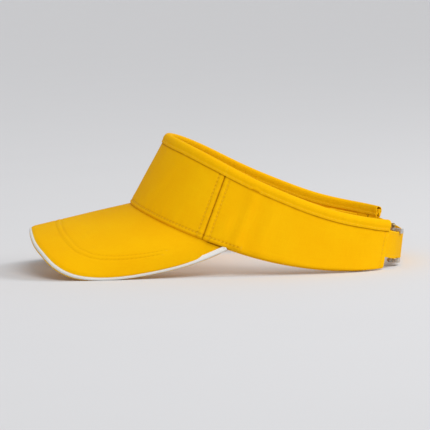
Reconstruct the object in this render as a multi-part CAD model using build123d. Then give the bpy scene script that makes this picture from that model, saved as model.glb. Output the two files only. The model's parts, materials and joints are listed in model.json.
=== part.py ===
from build123d import *
import os
from math import asin, atan2, cos, degrees, pi, radians, sin, sqrt, tan

# A cloth sun visor: an open, tapered head band with a stiff arched brim at the front and a
# buckled strap at the back. Everything is modelled in the band's own frame first: +Z is the
# axis of the band's taper, the brim points to -X and the wearer's left is -Y. At the end the
# whole visor is tipped and moved, so that it stands on the brim and on the two band ends.

# ---- Driving dimensions: millimetres and degrees ----

# Band outline at its reference level, measured on the outer cloth
BAND_FRONT = 97.0           # band axis to the front of the band
BAND_REAR = 97.0            # band axis to the back of the strap
REAR_RADIUS = 142.0         # flat curve across the back
CORNER_RADIUS = 42.0        # tight curve at each band end
CORNER_HALF_SPACING = 33.8  # band middle to a corner curve's centre
SIDE_RADIUS = 240.0         # long curve along the temple
SIDE_START = 80.0           # direction in which the temple curve starts
TAPER = 10.95               # the band leans in towards its top edge

# Band edges, seen from the side: height over the reference level
EDGE_VERTEX_X = -20.0
EDGE_VERTEX_Z = -4.1
FRONT_EDGE_RISE = 4.1
REAR_EDGE_RISE = 16.5
REAR_EDGE_RUN = 95.0
TOP_EDGE = [(-110.0, 54.2), (-84.0, 53.8), (-57.0, 50.6), (-26.0, 45.4), (5.0, 42.2),
            (33.0, 41.2), (57.0, 43.2), (82.0, 46.6)]

# Band seams and ends: direction of the outline's normal, from the back
SEAM_ANGLE = 109.5
END_ANGLES = {-1: 48.0, 1: 34.0}      # left end and right end
SEAM_GAP = 0.7
SWEATBAND_END_ANGLE = 64.0

# Plies, from the outside in
CLOTH = 0.9
PLY_GAP = 0.05
POCKET = 1.4                # core cloth at the seams, open pocket at the band ends
SWEATBAND = 1.6
BINDING = 0.7
BINDING_WIDTH = 7.2
SWEATBAND_WIDTH = 30.0
SWEATBAND_DROP = 0.8        # the sweatband shows below the band
CORE_TRIM = 1.5             # core cloth stops short of the band's edges
HEM_ANGLES = {-1: 11.0, 1: 14.0}      # widths of the turned-in hems at the ends
SEAM_TAPE_ANGLE = 6.0
JOINING_TAPE_RISE = 9.0
JOINING_TAPE_DROP = 3.0

# Strap and buckle
STRAP_WIDTH = 18.4
STRAP_CLOTH = 0.9
STRAP_CLEARANCE = 0.25
STRAP_HEIGHT = 29.4         # strap's middle over the reference level
STRAP_SEWN_ANGLE = 62.0
STRAP_TAIL_ANGLE = 70.0
TAB_WIDTH = 14.0
TAB_CLOTH = 0.7
TAB_START_ANGLE = 62.0
BUCKLE_ANGLE = 17.0
BUCKLE_LENGTH = 13.0
BUCKLE_BAR = 2.4
BUCKLE_PLATE = 1.2
BUCKLE_RAIL = 1.8
BUCKLE_SIDE_CLEARANCE = 0.5
BUCKLE_LIP = 0.8
EAR_LENGTH = 3.4
LEVER_WIDTH = 16.0
LEVER_PLATE = 1.0
LEVER_LENGTH = 8.4
PIN_RADIUS = 0.7
PIN_CLEARANCE = 0.06
KNUCKLE_RADIUS = 1.35
PIN_KNOB_RADIUS = 1.5
RUNNING_GAP = 0.35

# Brim: an arch that runs forwards and a little down from the front of the band
BRIM_SLOPE = 11.78
BRIM_START_HEIGHT = 0.0
BRIM_CROWN_RADIUS = 115.3
BRIM_SIDE_RADIUS = 33.0
BRIM_TURN = 32.0
BRIM_COVER = 0.9
BRIM_BOARD = 1.8
TRIM_STAND_OUT = 0.6
UNDER_COVER_STAND_OUT = 0.7
TRIM_SEAM = 1.6             # board edge to the edge of the covers
BRIM_TUCK = 8.0             # inside the band, the brim is cut away down to this far below its edge
BRIM_LEDGE = 3.0            # outside the band, the brim starts below the edge over this width
SWING_ROOM = 0.8            # gap between the brim and the edge of a side, which flexes
# Brim edge seen from the side: forwards from the band, and down from the crown line
BRIM_EDGE = [(71.0, 0.0), (69.5, 6.4), (66.0, 12.7), (61.5, 19.6), (54.2, 27.5), (45.8, 32.9),
             (36.8, 36.4), (25.4, 39.3), (0.0, 42.1), (-36.0, 41.4), (-57.0, 37.8)]

# How the visor stands
TILT = 18.82

# ---- Values worked out from the driving dimensions ----

LOW, HIGH = -40.0, 80.0
BRIM_EDGE_STATIONS = 16
FAR = 320.0
SHRINK = tan(radians(TAPER))
P1 = asin(CORNER_HALF_SPACING / (REAR_RADIUS - CORNER_RADIUS))
P2 = radians(SIDE_START)
REAR_CENTRE = (BAND_REAR - REAR_RADIUS, 0.0)
CORNER_CENTRE = (REAR_CENTRE[0] + (REAR_RADIUS - CORNER_RADIUS) * cos(P1), CORNER_HALF_SPACING)
SIDE_CENTRE = (CORNER_CENTRE[0] - (SIDE_RADIUS - CORNER_RADIUS) * cos(P2),
               CORNER_CENTRE[1] - (SIDE_RADIUS - CORNER_RADIUS) * sin(P2))
P3 = 2 * atan2(-SIDE_CENTRE[1], SIDE_RADIUS - SIDE_CENTRE[0] - BAND_FRONT)
SIDE_TO_FRONT = -SIDE_CENTRE[1] / sin(P3)
FRONT_RADIUS = SIDE_RADIUS - SIDE_TO_FRONT
FRONT_CENTRE = (SIDE_CENTRE[0] + SIDE_TO_FRONT * cos(P3), 0.0)

CORE_INSET = CLOTH + PLY_GAP
LINING_INSET = CORE_INSET + POCKET + PLY_GAP
INNER_INSET = LINING_INSET + CLOTH + PLY_GAP
STRAP_INSET = CORE_INSET + STRAP_CLEARANCE
BINDING_OUTER = BINDING + PLY_GAP


# ---- The band's outline ----

def arc_at(angle):
    """Centre and radius of the outline arc whose normal points along an angle in degrees."""
    turn = abs(radians(angle))
    side = 1.0 if angle >= 0 else -1.0
    if turn <= P1:
        centre, radius = REAR_CENTRE, REAR_RADIUS
    elif turn <= P2:
        centre, radius = CORNER_CENTRE, CORNER_RADIUS
    elif turn <= P3:
        centre, radius = SIDE_CENTRE, SIDE_RADIUS
    else:
        centre, radius = FRONT_CENTRE, FRONT_RADIUS
    return (centre[0], side * centre[1]), radius


def outline_point(angle, inset=0.0, height=0.0):
    """Point of the band's surface, an inset inside the outer cloth."""
    (x, y), radius = arc_at(angle)
    reach = radius - inset - height * SHRINK
    return Vector(x + reach * cos(radians(angle)), y + reach * sin(radians(angle)), height)


def outline_face(inset, height):
    """Flat face bounded by the band's outline at one height."""
    stops = [-P1, P1, P2, P3, 2 * pi - P3, 2 * pi - P2, 2 * pi - P1]
    arcs = []
    for start, end in zip(stops, stops[1:]):
        middle = degrees((start + end) / 2)
        signed = middle if middle <= 180 else middle - 360
        if abs(middle - 180) < 1e-6:
            signed = 180
        (x, y), radius = arc_at(signed)
        ends = [degrees(start), middle, degrees(end)]
        reach = radius - inset - height * SHRINK
        points = [(x + reach * cos(radians(a)), y + reach * sin(radians(a)), height) for a in ends]
        arcs.append(ThreePointArc(*points))
    return make_face(arcs)


def cone_solid(inset):
    """The tapered solid that fills the band's outline, an inset inside the outer cloth."""
    return loft([outline_face(inset, LOW), outline_face(inset, HIGH)], ruled=True)


def ply(inset, thickness):
    """Endless tapered ring, one ply thick."""
    return cone_solid(inset) - cone_solid(inset + thickness)


# ---- Cutters that shape a ply ----

def edge_profile(bottom_rise=0.0, top_drop=0.0, bottom=True, top=True, height=None):
    """Solid between the band's bottom and top edges, seen from the side.

    bottom_rise and top_drop move the edges. height, if given, ends the solid that far over the
    bottom edge in place of the top edge.
    """
    left, right = TOP_EDGE[0][0], 125.0
    front_run = EDGE_VERTEX_X - (-BAND_FRONT)
    front_z = EDGE_VERTEX_Z + FRONT_EDGE_RISE * ((EDGE_VERTEX_X - left) / front_run) ** 2
    rear_z = EDGE_VERTEX_Z + REAR_EDGE_RISE * ((right - EDGE_VERTEX_X) / REAR_EDGE_RUN) ** 2

    def low_edge(lift):
        front = Bezier((left, front_z + lift), ((left + EDGE_VERTEX_X) / 2, EDGE_VERTEX_Z + lift),
                       (EDGE_VERTEX_X, EDGE_VERTEX_Z + lift))
        rear = Bezier((EDGE_VERTEX_X, EDGE_VERTEX_Z + lift),
                      ((right + EDGE_VERTEX_X) / 2, EDGE_VERTEX_Z + lift), (right, rear_z + lift))
        return [front, rear]

    lower = low_edge(bottom_rise) if bottom else [Line((left, LOW), (right, LOW))]
    if height is not None:
        upper = low_edge(height)
    elif top:
        knots = [(x, z - top_drop) for x, z in TOP_EDGE]
        knots.append((right, knots[-1][1] + 6.0))
        upper = [Spline(*knots)]
    else:
        upper = [Line((left, HIGH), (right, HIGH))]
    start = Line(lower[0] @ 0, upper[0] @ 0)
    end = Line(lower[-1] @ 1, upper[-1] @ 1)
    face = make_face(lower + [end] + upper + [start])
    return extrude(Plane.XZ * face, 150, both=True)


def sector(start, end):
    """Prism that keeps the part of the band between two outline directions, in degrees."""
    steps = 6
    outer = []
    for i in range(steps + 1):
        angle = start + (end - start) * i / steps
        signed = (angle + 180) % 360 - 180
        (x, y), _ = arc_at(signed)
        outer.append((x + FAR * cos(radians(angle)), y + FAR * sin(radians(angle))))
    first, _ = arc_at((start + 180) % 360 - 180)
    last, _ = arc_at((end + 180) % 360 - 180)
    points = [first] + outer
    if sqrt((first[0] - last[0]) ** 2 + (first[1] - last[1]) ** 2) > 1e-6:
        points.append(last)
    face = make_face(Polyline(*points, close=True))
    return extrude(Plane.XY.offset(LOW) * face, HIGH - LOW)


def side_sector(side, start, end):
    """Sector on the left (-1) or the right (+1) between two directions from the back."""
    return sector(start, end) if side > 0 else sector(-end, -start)


def strip_profile(width, middle=STRAP_HEIGHT):
    """Level slab that cuts a strip of one width out of a ply."""
    slab_height = width * cos(radians(TAPER))
    return Pos(0, 0, middle) * Box(2 * FAR, 2 * FAR, slab_height)


SEAM_TRIM = degrees(SEAM_GAP / 2 / FRONT_RADIUS)
FRONT_SECTOR = sector(SEAM_ANGLE + SEAM_TRIM, 360 - SEAM_ANGLE - SEAM_TRIM)
SIDE_NAMES = {-1: "left", 1: "right"}


# ---- Band pieces ----

def binding(where):
    """Tape folded over the band's top edge."""
    wrap = ply(-BINDING_OUTER, BINDING_OUTER + INNER_INSET + BINDING)
    tape = wrap & (edge_profile(bottom=False) - edge_profile(bottom=False, top_drop=BINDING_WIDTH))
    kept_open = ply(-PLY_GAP, INNER_INSET + PLY_GAP)
    kept_open = kept_open & edge_profile(bottom=False, top_drop=BINDING)
    return (tape - kept_open) & where


def sweatband_profile():
    """Solid between the sweatband's two edges, which stay under the top binding."""
    below_binding = edge_profile(bottom=False, top_drop=BINDING_WIDTH + SEAM_GAP)
    return edge_profile(bottom_rise=-SWEATBAND_DROP, height=SWEATBAND_WIDTH) & below_binding


def front_pieces():
    """The stiffened front of the band."""
    under_binding = BINDING + PLY_GAP
    body = edge_profile(top_drop=under_binding)
    pieces = {}
    pieces["front_panel"] = ply(0, CLOTH) & body & FRONT_SECTOR
    core = edge_profile(bottom_rise=CORE_TRIM, top_drop=under_binding)
    pieces["front_buckram"] = ply(CORE_INSET, POCKET) & core & FRONT_SECTOR
    lining = edge_profile(bottom_rise=JOINING_TAPE_RISE + PLY_GAP, top_drop=under_binding)
    pieces["front_lining"] = ply(LINING_INSET, CLOTH) & lining & FRONT_SECTOR
    sweat = sweatband_profile()
    pieces["front_sweatband"] = ply(INNER_INSET, SWEATBAND) & sweat & FRONT_SECTOR
    pieces["front_binding"] = binding(FRONT_SECTOR)
    tape = edge_profile(bottom_rise=-JOINING_TAPE_DROP, height=JOINING_TAPE_RISE)
    pieces["brim_joining_tape"] = ply(LINING_INSET, CLOTH) & tape & FRONT_SECTOR
    return pieces


def seam_tape(side):
    """Tape over the inside of a side seam, sewn to the front of the band."""
    start = SEAM_ANGLE + SEAM_TRIM
    where = side_sector(side, start, start + SEAM_TAPE_ANGLE)
    height = edge_profile(top_drop=BINDING_WIDTH + SEAM_GAP)
    height = height - edge_profile(height=SWEATBAND_WIDTH + SEAM_GAP)
    return ply(INNER_INSET, TAB_CLOTH) & height & where


def side_pieces(side):
    """One soft side of the band, from its seam to its end at the back."""
    name = SIDE_NAMES[side]
    under_binding = BINDING + PLY_GAP
    seam = SEAM_ANGLE - SEAM_TRIM
    end = END_ANGLES[side]
    hem_end = end + HEM_ANGLES[side]
    whole = side_sector(side, end, seam)
    before_hem = side_sector(side, hem_end, seam)
    hem = side_sector(side, end, hem_end - PLY_GAP)
    core_end = STRAP_TAIL_ANGLE if side < 0 else STRAP_SEWN_ANGLE
    core = side_sector(side, core_end + 1.0, seam)
    sweat = side_sector(side, SWEATBAND_END_ANGLE, seam)
    body = edge_profile(top_drop=under_binding)
    core_body = edge_profile(bottom_rise=CORE_TRIM, top_drop=under_binding)
    pieces = {}
    pieces[f"{name}_side_panel"] = ply(0, CLOTH) & body & whole
    pieces[f"{name}_interlining"] = ply(CORE_INSET, POCKET) & core_body & core
    pieces[f"{name}_lining"] = ply(LINING_INSET, CLOTH) & body & before_hem
    pieces[f"{name}_end_hem"] = ply(LINING_INSET, CLOTH) & body & hem
    pieces[f"{name}_sweatband"] = ply(INNER_INSET, SWEATBAND) & sweatband_profile() & sweat
    pieces[f"{name}_binding"] = binding(whole)
    return pieces


# ---- Strap and buckle ----

def strap():
    """Cloth strap, sewn into the right end, round the back and into the left end's pocket."""
    where = sector(-STRAP_TAIL_ANGLE, STRAP_SEWN_ANGLE)
    return ply(STRAP_INSET, STRAP_CLOTH) & strip_profile(STRAP_WIDTH) & where


def buckle_plane():
    """Plane on the outer cloth at the buckle: x away from the left end, y up, z outwards."""
    angle = radians(-BUCKLE_ANGLE)
    lean = radians(TAPER)
    outwards = Vector(cos(lean) * cos(angle), cos(lean) * sin(angle), sin(lean))
    away = Vector(-sin(angle), cos(angle), 0)
    origin = outline_point(-BUCKLE_ANGLE, 0, STRAP_HEIGHT)
    return Plane(origin=origin, x_dir=away, z_dir=outwards)


FRAME_TOP = INNER_INSET + TAB_CLOTH + 2 * PLY_GAP + 0.1
PIN_DEPTH = FRAME_TOP + BUCKLE_PLATE + RUNNING_GAP + KNUCKLE_RADIUS
PIN_X = BUCKLE_LENGTH / 2 - BUCKLE_BAR - EAR_LENGTH / 2 + 1.2
TAB_BAR_X = -BUCKLE_LENGTH / 2 + BUCKLE_BAR / 2
RAIL_INNER = STRAP_WIDTH / 2 + BUCKLE_SIDE_CLEARANCE
RAIL_OUTER = RAIL_INNER + BUCKLE_RAIL


def bar_along_y(x, depth, radius, length, middle=0.0):
    """Round bar across the strap, at a depth inside the outer cloth."""
    return Pos(x, middle, -depth) * Rot(90, 0, 0) * Cylinder(radius, length)


def buckle_frame():
    """Cast frame: a flat ring inside the strap, rails past its edges, lips and pin ears."""
    ring = Box(BUCKLE_LENGTH, 2 * RAIL_OUTER, BUCKLE_PLATE)
    ring = fillet(ring.edges().filter_by(Axis.Z), 1.2)
    window = Box(BUCKLE_LENGTH - 2 * BUCKLE_BAR, 2 * RAIL_INNER, 3 * BUCKLE_PLATE)
    frame = Pos(0, 0, -FRAME_TOP - BUCKLE_PLATE / 2) * (ring - window)
    lip_top = -STRAP_INSET + BUCKLE_SIDE_CLEARANCE + BUCKLE_LIP
    rail_height = FRAME_TOP + lip_top
    for end in (-1, 1):
        rail = Pos(0, end * (RAIL_INNER + RAIL_OUTER) / 2, lip_top - rail_height / 2)
        frame += rail * Box(BUCKLE_LENGTH - 4.0, BUCKLE_RAIL, rail_height)
        lip_width = BUCKLE_SIDE_CLEARANCE + BUCKLE_LIP
        lip = Pos(0, end * (RAIL_INNER - lip_width / 2), lip_top - BUCKLE_LIP / 2)
        frame += lip * Box(BUCKLE_LENGTH - 4.0, lip_width, BUCKLE_LIP)
        ear_depth = PIN_DEPTH + KNUCKLE_RADIUS - FRAME_TOP
        ear = Pos(PIN_X, end * (RAIL_INNER + RAIL_OUTER) / 2, -FRAME_TOP - ear_depth / 2)
        frame += ear * Box(EAR_LENGTH, BUCKLE_RAIL, ear_depth)
    return frame - bar_along_y(PIN_X, PIN_DEPTH, PIN_RADIUS, 3 * RAIL_OUTER)


def buckle_pin():
    """Lever pin: pressed into the ears, with a round knob on its upper end."""
    reach = RAIL_OUTER + 0.6
    pin = bar_along_y(PIN_X, PIN_DEPTH, PIN_RADIUS, 2 * reach)
    pin += Pos(PIN_X, reach + PIN_KNOB_RADIUS - 0.4, -PIN_DEPTH) * Sphere(PIN_KNOB_RADIUS)
    return pin


def buckle_lever():
    """Locking lever on the inner face: a plate with a knuckle that turns on the pin."""
    plate = Pos(PIN_X - LEVER_LENGTH / 2, 0, -PIN_DEPTH) * Box(LEVER_LENGTH, LEVER_WIDTH, LEVER_PLATE)
    grip_x = PIN_X - LEVER_LENGTH + LEVER_PLATE / 2
    grip = Pos(grip_x, 0, -PIN_DEPTH - LEVER_PLATE) * Box(LEVER_PLATE, LEVER_WIDTH, LEVER_PLATE)
    lever = plate + grip + bar_along_y(PIN_X, PIN_DEPTH, KNUCKLE_RADIUS, LEVER_WIDTH)
    return lever - bar_along_y(PIN_X, PIN_DEPTH, PIN_RADIUS + PIN_CLEARANCE, 2 * RAIL_OUTER)


def buckle_tab(plane):
    """Short tab sewn inside the left end, looped round the frame's near bar."""
    height = strip_profile(TAB_WIDTH)
    strip = ply(INNER_INSET, TAB_CLOTH) & height
    loop_inner_depth = BUCKLE_PLATE + 4 * PLY_GAP
    loop_inner_length = BUCKLE_BAR + 8 * PLY_GAP
    loop_x = TAB_BAR_X
    joint_angle = BUCKLE_ANGLE + degrees((loop_inner_length / 2 - loop_x) / REAR_RADIUS)
    strip = strip & side_sector(-1, joint_angle, TAB_START_ANGLE)
    loop_middle = FRAME_TOP + BUCKLE_PLATE / 2
    outer_length = loop_inner_length + 2 * TAB_CLOTH
    outer_depth = loop_inner_depth + 2 * TAB_CLOTH
    outer = Box(outer_length, TAB_WIDTH, outer_depth)
    outer = fillet(outer.edges().filter_by(Axis.Y), TAB_CLOTH)
    inner = Box(loop_inner_length, 2 * TAB_WIDTH, loop_inner_depth)
    loop = plane.location * Pos(loop_x, 0, -loop_middle) * (outer - inner)
    return loop + strip


# ---- Brim ----

def brim_plane():
    """Plane on the crown line at the band: x forwards along the brim, z up from its crown."""
    slope = radians(BRIM_SLOPE)
    forwards = Vector(-cos(slope), 0, -sin(slope))
    upwards = Vector(-sin(slope), 0, cos(slope))
    start = Vector(-BAND_FRONT, 0, BRIM_START_HEIGHT).rotate(Axis.Y, TILT)
    return Plane(origin=start, x_dir=forwards, z_dir=upwards)


def standing():
    """Turn from the band's own frame to the way the visor stands."""
    return Rot(0, TILT, 0)


def arch_face(depth):
    """Area under the brim's arch, a depth below its upper face, in the plane across the brim."""
    turn = radians(BRIM_TURN)
    side_y = (BRIM_CROWN_RADIUS - BRIM_SIDE_RADIUS) * sin(turn)
    side_z = -BRIM_CROWN_RADIUS + (BRIM_CROWN_RADIUS - BRIM_SIDE_RADIUS) * cos(turn)
    crown_r = BRIM_CROWN_RADIUS - depth
    side_r = BRIM_SIDE_RADIUS - depth
    half = side_y + side_r

    def on_crown(angle):
        return (crown_r * sin(angle), -BRIM_CROWN_RADIUS + crown_r * cos(angle))

    def on_side(angle, side):
        return (side * (side_y + side_r * sin(angle)), side_z + side_r * cos(angle))

    leg = 60.0
    middle = (turn + pi / 2) / 2
    right = ThreePointArc(on_side(turn, 1), on_side(middle, 1), on_side(pi / 2, 1))
    left = ThreePointArc(on_side(pi / 2, -1), on_side(middle, -1), on_side(turn, -1))
    crown = ThreePointArc(on_crown(-turn), (0, -depth), on_crown(turn))
    legs = Polyline((half, side_z), (half, side_z - leg), (-half, side_z - leg), (-half, side_z))
    return make_face([crown, right, legs, left])


def brim_edge_prism(grow=0.0):
    """Prism of the brim's edge seen from the side, in the brim's own plane."""
    edge = Spline(*[(s, -d) for s, d in BRIM_EDGE])
    if grow:
        moved = []
        for i in range(BRIM_EDGE_STATIONS + 1):
            along = edge % (i / BRIM_EDGE_STATIONS)
            outwards = Vector(-along.Y, along.X, 0)
            moved.append((edge @ (i / BRIM_EDGE_STATIONS)) + outwards * grow)
        edge = Spline(*moved)
    close_up = Polyline(edge @ 1, ((edge @ 1).X, 30), ((edge @ 0).X, 30), edge @ 0)
    return extrude(Plane.XZ * make_face([edge, close_up]), 100, both=True)


def brim_layer(depth, thickness, grow, cutter):
    """One layer of the brim, between two depths below its upper face."""
    shell = extrude(Plane.YZ * (arch_face(depth) - arch_face(depth + thickness)), 110, both=True)
    layer = brim_plane().location * (shell & brim_edge_prism(grow))
    layer = layer - cutter
    return largest(layer)


def largest(shape):
    """The largest solid of a cut shape: its offcuts are dropped."""
    return max(shape.solids(), key=lambda solid: solid.volume)


def brim_cutter():
    """Space that the brim leaves to the band, in the band's own frame."""
    inside = cone_solid(LINING_INSET - PLY_GAP) & edge_profile(bottom_rise=-BRIM_TUCK, top=False)
    around = cone_solid(-BRIM_LEDGE)
    cutter = inside + (around & edge_profile(bottom_rise=-2 * PLY_GAP))
    for side in (-1, 1):
        flexing = side_sector(side, END_ANGLES[side], SEAM_ANGLE + SEAM_TRIM)
        cutter += around & edge_profile(bottom_rise=-SWING_ROOM) & flexing
    return cutter


def brim_pieces():
    """Board, covers and the contrast trim sewn between them."""
    cutter = standing() * brim_cutter()
    board_depth = BRIM_COVER + PLY_GAP
    under_depth = board_depth + BRIM_BOARD + PLY_GAP
    pieces = {}
    pieces["brim_top_cover"] = brim_layer(0, BRIM_COVER, 0, cutter)
    pieces["brim_board"] = brim_layer(board_depth, BRIM_BOARD, -TRIM_SEAM, cutter)
    under = brim_layer(under_depth, BRIM_COVER, UNDER_COVER_STAND_OUT, cutter)
    pieces["brim_under_cover"] = under
    ring = brim_layer(board_depth, BRIM_BOARD, TRIM_STAND_OUT, cutter)
    inside = brim_edge_prism(-TRIM_SEAM + PLY_GAP)
    pieces["brim_contrast_trim"] = largest(ring - brim_plane().location * inside)
    return pieces


# ---- Hinge lines, in the band's own frame ----

def seam_hinge():
    """Line along the left side seam, in the middle of the wall: the left side flexes on it."""
    depth = INNER_INSET / 2
    foot = outline_point(-SEAM_ANGLE, depth, 0.0)
    return Axis(foot, outline_point(-SEAM_ANGLE, depth, 1.0) - foot)


def lever_hinge():
    """Line of the buckle pin, turned so that a positive angle lifts the lever inwards."""
    plane = buckle_plane()
    return Axis(plane.from_local_coords(Vector(PIN_X, 0, -PIN_DEPTH)), -plane.y_dir)


# ---- The whole visor ----

def band_frame_pieces():
    """Every piece that is modelled in the band's own frame."""
    pieces = front_pieces()
    for side in (-1, 1):
        pieces[f"{SIDE_NAMES[side]}_seam_tape"] = seam_tape(side)
        pieces.update(side_pieces(side))
    pieces["adjuster_strap"] = strap()
    plane = buckle_plane()
    pieces["buckle_tab"] = buckle_tab(plane)
    pieces["buckle_frame"] = plane.location * buckle_frame()
    pieces["buckle_pin"] = plane.location * buckle_pin()
    pieces["buckle_lever"] = plane.location * buckle_lever()
    return pieces


def stand_on_floor(pieces):
    """Move the visor so that its footprint is centred on the origin and its lowest point is z=0."""
    box = Compound(children=[Compound(children=shape.solids()) for shape in pieces.values()]).bounding_box()
    shift = Pos(-(box.min.X + box.max.X) / 2, -(box.min.Y + box.max.Y) / 2, -box.min.Z)
    return {name: shift * shape for name, shape in pieces.items()}, shift


def build():
    """All named pieces where they stand, and the move from the band's frame to that place."""
    pieces = {name: standing() * shape for name, shape in band_frame_pieces().items()}
    pieces.update(brim_pieces())
    placed, shift = stand_on_floor(pieces)
    return placed, shift * standing()


if __name__ == "__main__":
    os.makedirs("parts", exist_ok=True)
    parts, band_place = build()
    for part_name, part_shape in parts.items():
        solids = part_shape.solids()
        export_step(Compound(children=solids) if len(solids) > 1 else solids[0],
                    f"parts/{part_name}.step")
    print(len(parts), "pieces; band frame placed at", band_place)
    for hinge_name, hinge in (("seam hinge", seam_hinge()), ("lever hinge", lever_hinge())):
        print(hinge_name, hinge.located(band_place))
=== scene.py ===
"""Looks of a yellow cloth sun visor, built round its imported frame.

The visor is an open, tapered head band with an arched brim at the front and a buckled strap at
the back. Lengths in the dataclasses are millimetres, and every mesh is in metres.
"""

import json
import logging
from collections.abc import Callable, Sequence
from dataclasses import dataclass, field
from enum import Enum
from math import cos, pi, radians, sin, tan

import bpy
import numpy as np
from bpy.types import Material, NodeTree, Object
from mathutils import Matrix, Vector

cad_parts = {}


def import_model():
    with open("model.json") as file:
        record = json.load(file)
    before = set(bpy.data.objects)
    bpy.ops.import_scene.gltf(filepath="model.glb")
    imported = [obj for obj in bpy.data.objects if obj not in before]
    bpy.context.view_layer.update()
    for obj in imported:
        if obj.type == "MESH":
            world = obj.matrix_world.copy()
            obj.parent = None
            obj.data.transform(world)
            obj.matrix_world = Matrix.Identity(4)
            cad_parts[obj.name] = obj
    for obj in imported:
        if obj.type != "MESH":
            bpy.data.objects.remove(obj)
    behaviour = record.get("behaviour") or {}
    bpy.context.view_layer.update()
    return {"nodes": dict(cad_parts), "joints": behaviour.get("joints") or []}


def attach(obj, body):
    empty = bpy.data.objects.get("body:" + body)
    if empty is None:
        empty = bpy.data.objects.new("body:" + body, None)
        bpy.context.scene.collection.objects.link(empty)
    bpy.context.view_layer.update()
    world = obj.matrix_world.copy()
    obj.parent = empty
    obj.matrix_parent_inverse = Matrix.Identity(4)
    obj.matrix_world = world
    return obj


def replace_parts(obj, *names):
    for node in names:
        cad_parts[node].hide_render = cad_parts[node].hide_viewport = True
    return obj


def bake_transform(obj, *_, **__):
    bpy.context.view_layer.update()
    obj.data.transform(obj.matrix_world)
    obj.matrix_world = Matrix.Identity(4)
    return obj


MM = 0.001
NARROWEST_CUT = 10.1  # millimetres: a narrower sheet is declared as wide as this
ROOT = "front_brim_and_right_side"
LEFT = "left_side"
log = logging.getLogger("sun_visor")

Array = np.ndarray


class Side(Enum):
    """Wearer's side of the band, as the sign of Y."""

    LEFT = -1
    RIGHT = 1

    @property
    def label(self) -> str:
        """Name used in piece names."""
        return self.name.lower()

    @property
    def body(self) -> str:
        """Body that this side moves with."""
        return LEFT if self is Side.LEFT else ROOT


# ---- Mesh helpers ----


def only(obj: Object) -> None:
    """Leave just one object selected and active."""
    bpy.ops.object.select_all(action="DESELECT")
    obj.select_set(True)
    bpy.context.view_layer.objects.active = obj


def apply_modifier(obj: Object, kind: str, **settings: object) -> None:
    """Add a modifier, set it up and apply it.

    Args:
        obj: The piece.
        kind: Type of the modifier.
        **settings: Values of the modifier.
    """
    only(obj)
    modifier = obj.modifiers.new(kind.lower(), kind)
    for key, value in settings.items():
        setattr(modifier, key, value)
    bpy.ops.object.modifier_apply(modifier=modifier.name)


def smooth(obj: Object, angle: float = 50.0) -> None:
    """Shade a piece smooth, except over edges sharper than an angle in degrees."""
    only(obj)
    bpy.ops.object.shade_smooth_by_angle(angle=radians(angle))


def merge(name: str, objects: Sequence[Object]) -> Object:
    """Join objects into one.

    Args:
        name: Name of the joined piece.
        objects: What is joined.

    Returns:
        The joined object.
    """
    bpy.ops.object.select_all(action="DESELECT")
    for obj in objects:
        obj.select_set(True)
    bpy.context.view_layer.objects.active = objects[0]
    if len(objects) > 1:
        bpy.ops.object.join()
    objects[0].name = name
    objects[0].data.name = name
    return objects[0]


class SmoothLine:
    """Natural cubic line through a few points, measured along its chords."""

    def __init__(self, points: Sequence[Sequence[float]], count: int = 400) -> None:
        """Work out the line and sample it evenly.

        Args:
            points: The points that it goes through.
            count: How many samples are kept.
        """
        knots = np.array(points, float)
        steps = np.linalg.norm(np.diff(knots, axis=0), axis=1)
        size = len(knots)
        matrix, right = np.eye(size), np.zeros_like(knots)
        for i in range(1, size - 1):
            matrix[i, i - 1 : i + 2] = steps[i - 1], 2 * (steps[i - 1] + steps[i]), steps[i]
            rise = (knots[i + 1] - knots[i]) / steps[i] - (knots[i] - knots[i - 1]) / steps[i - 1]
            right[i] = 6 * rise
        bend = np.linalg.solve(matrix, right)
        stops = np.concatenate([[0.0], np.cumsum(steps)])
        distance = np.linspace(0, stops[-1], count)
        i = np.clip(np.searchsorted(stops, distance, side="right") - 1, 0, size - 2)
        step = steps[i][:, None]
        after, before = (distance - stops[i])[:, None], (stops[i + 1] - distance)[:, None]
        self.samples = (
            (bend[i] * before**3 + bend[i + 1] * after**3) / (6 * step)
            + (knots[i] / step - bend[i] * step / 6) * before
            + (knots[i + 1] / step - bend[i + 1] * step / 6) * after
        )
        pieces = np.linalg.norm(np.diff(self.samples, axis=0), axis=1)
        self.distance = np.concatenate([[0.0], np.cumsum(pieces)])
        self.length = float(self.distance[-1])

    def at(self, share: Array) -> Array:
        """Points at shares of the length, from 0 to 1."""
        along = np.asarray(share, float) * self.length
        columns = [np.interp(along, self.distance, column) for column in self.samples.T]
        return np.stack(columns, axis=-1)

    def height_at(self, x: Array) -> Array:
        """Second coordinate where the first is x."""
        return np.interp(x, self.samples[:, 0], self.samples[:, 1])


def ripple(t: Array, seed: float) -> Array:
    """Uneven wave between about -1 and 1, repeatable for its seed."""
    first = np.sin(t + 1.7 * seed)
    second = np.sin(1.63 * t + 2.9 * seed + 0.8)
    third = np.sin(2.71 * t + 0.6 * seed + 2.1)
    return 0.5 * first + 0.32 * second + 0.18 * third


def hump(distance: Array, width: float) -> Array:
    """Bell-shaped weight: 1 at no distance."""
    return np.exp(-((distance / width) ** 2))


def fade(t: Array) -> Array:
    """Smooth step from 0 to 1."""
    t = np.clip(t, 0, 1)
    return t * t * (3 - 2 * t)


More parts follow.
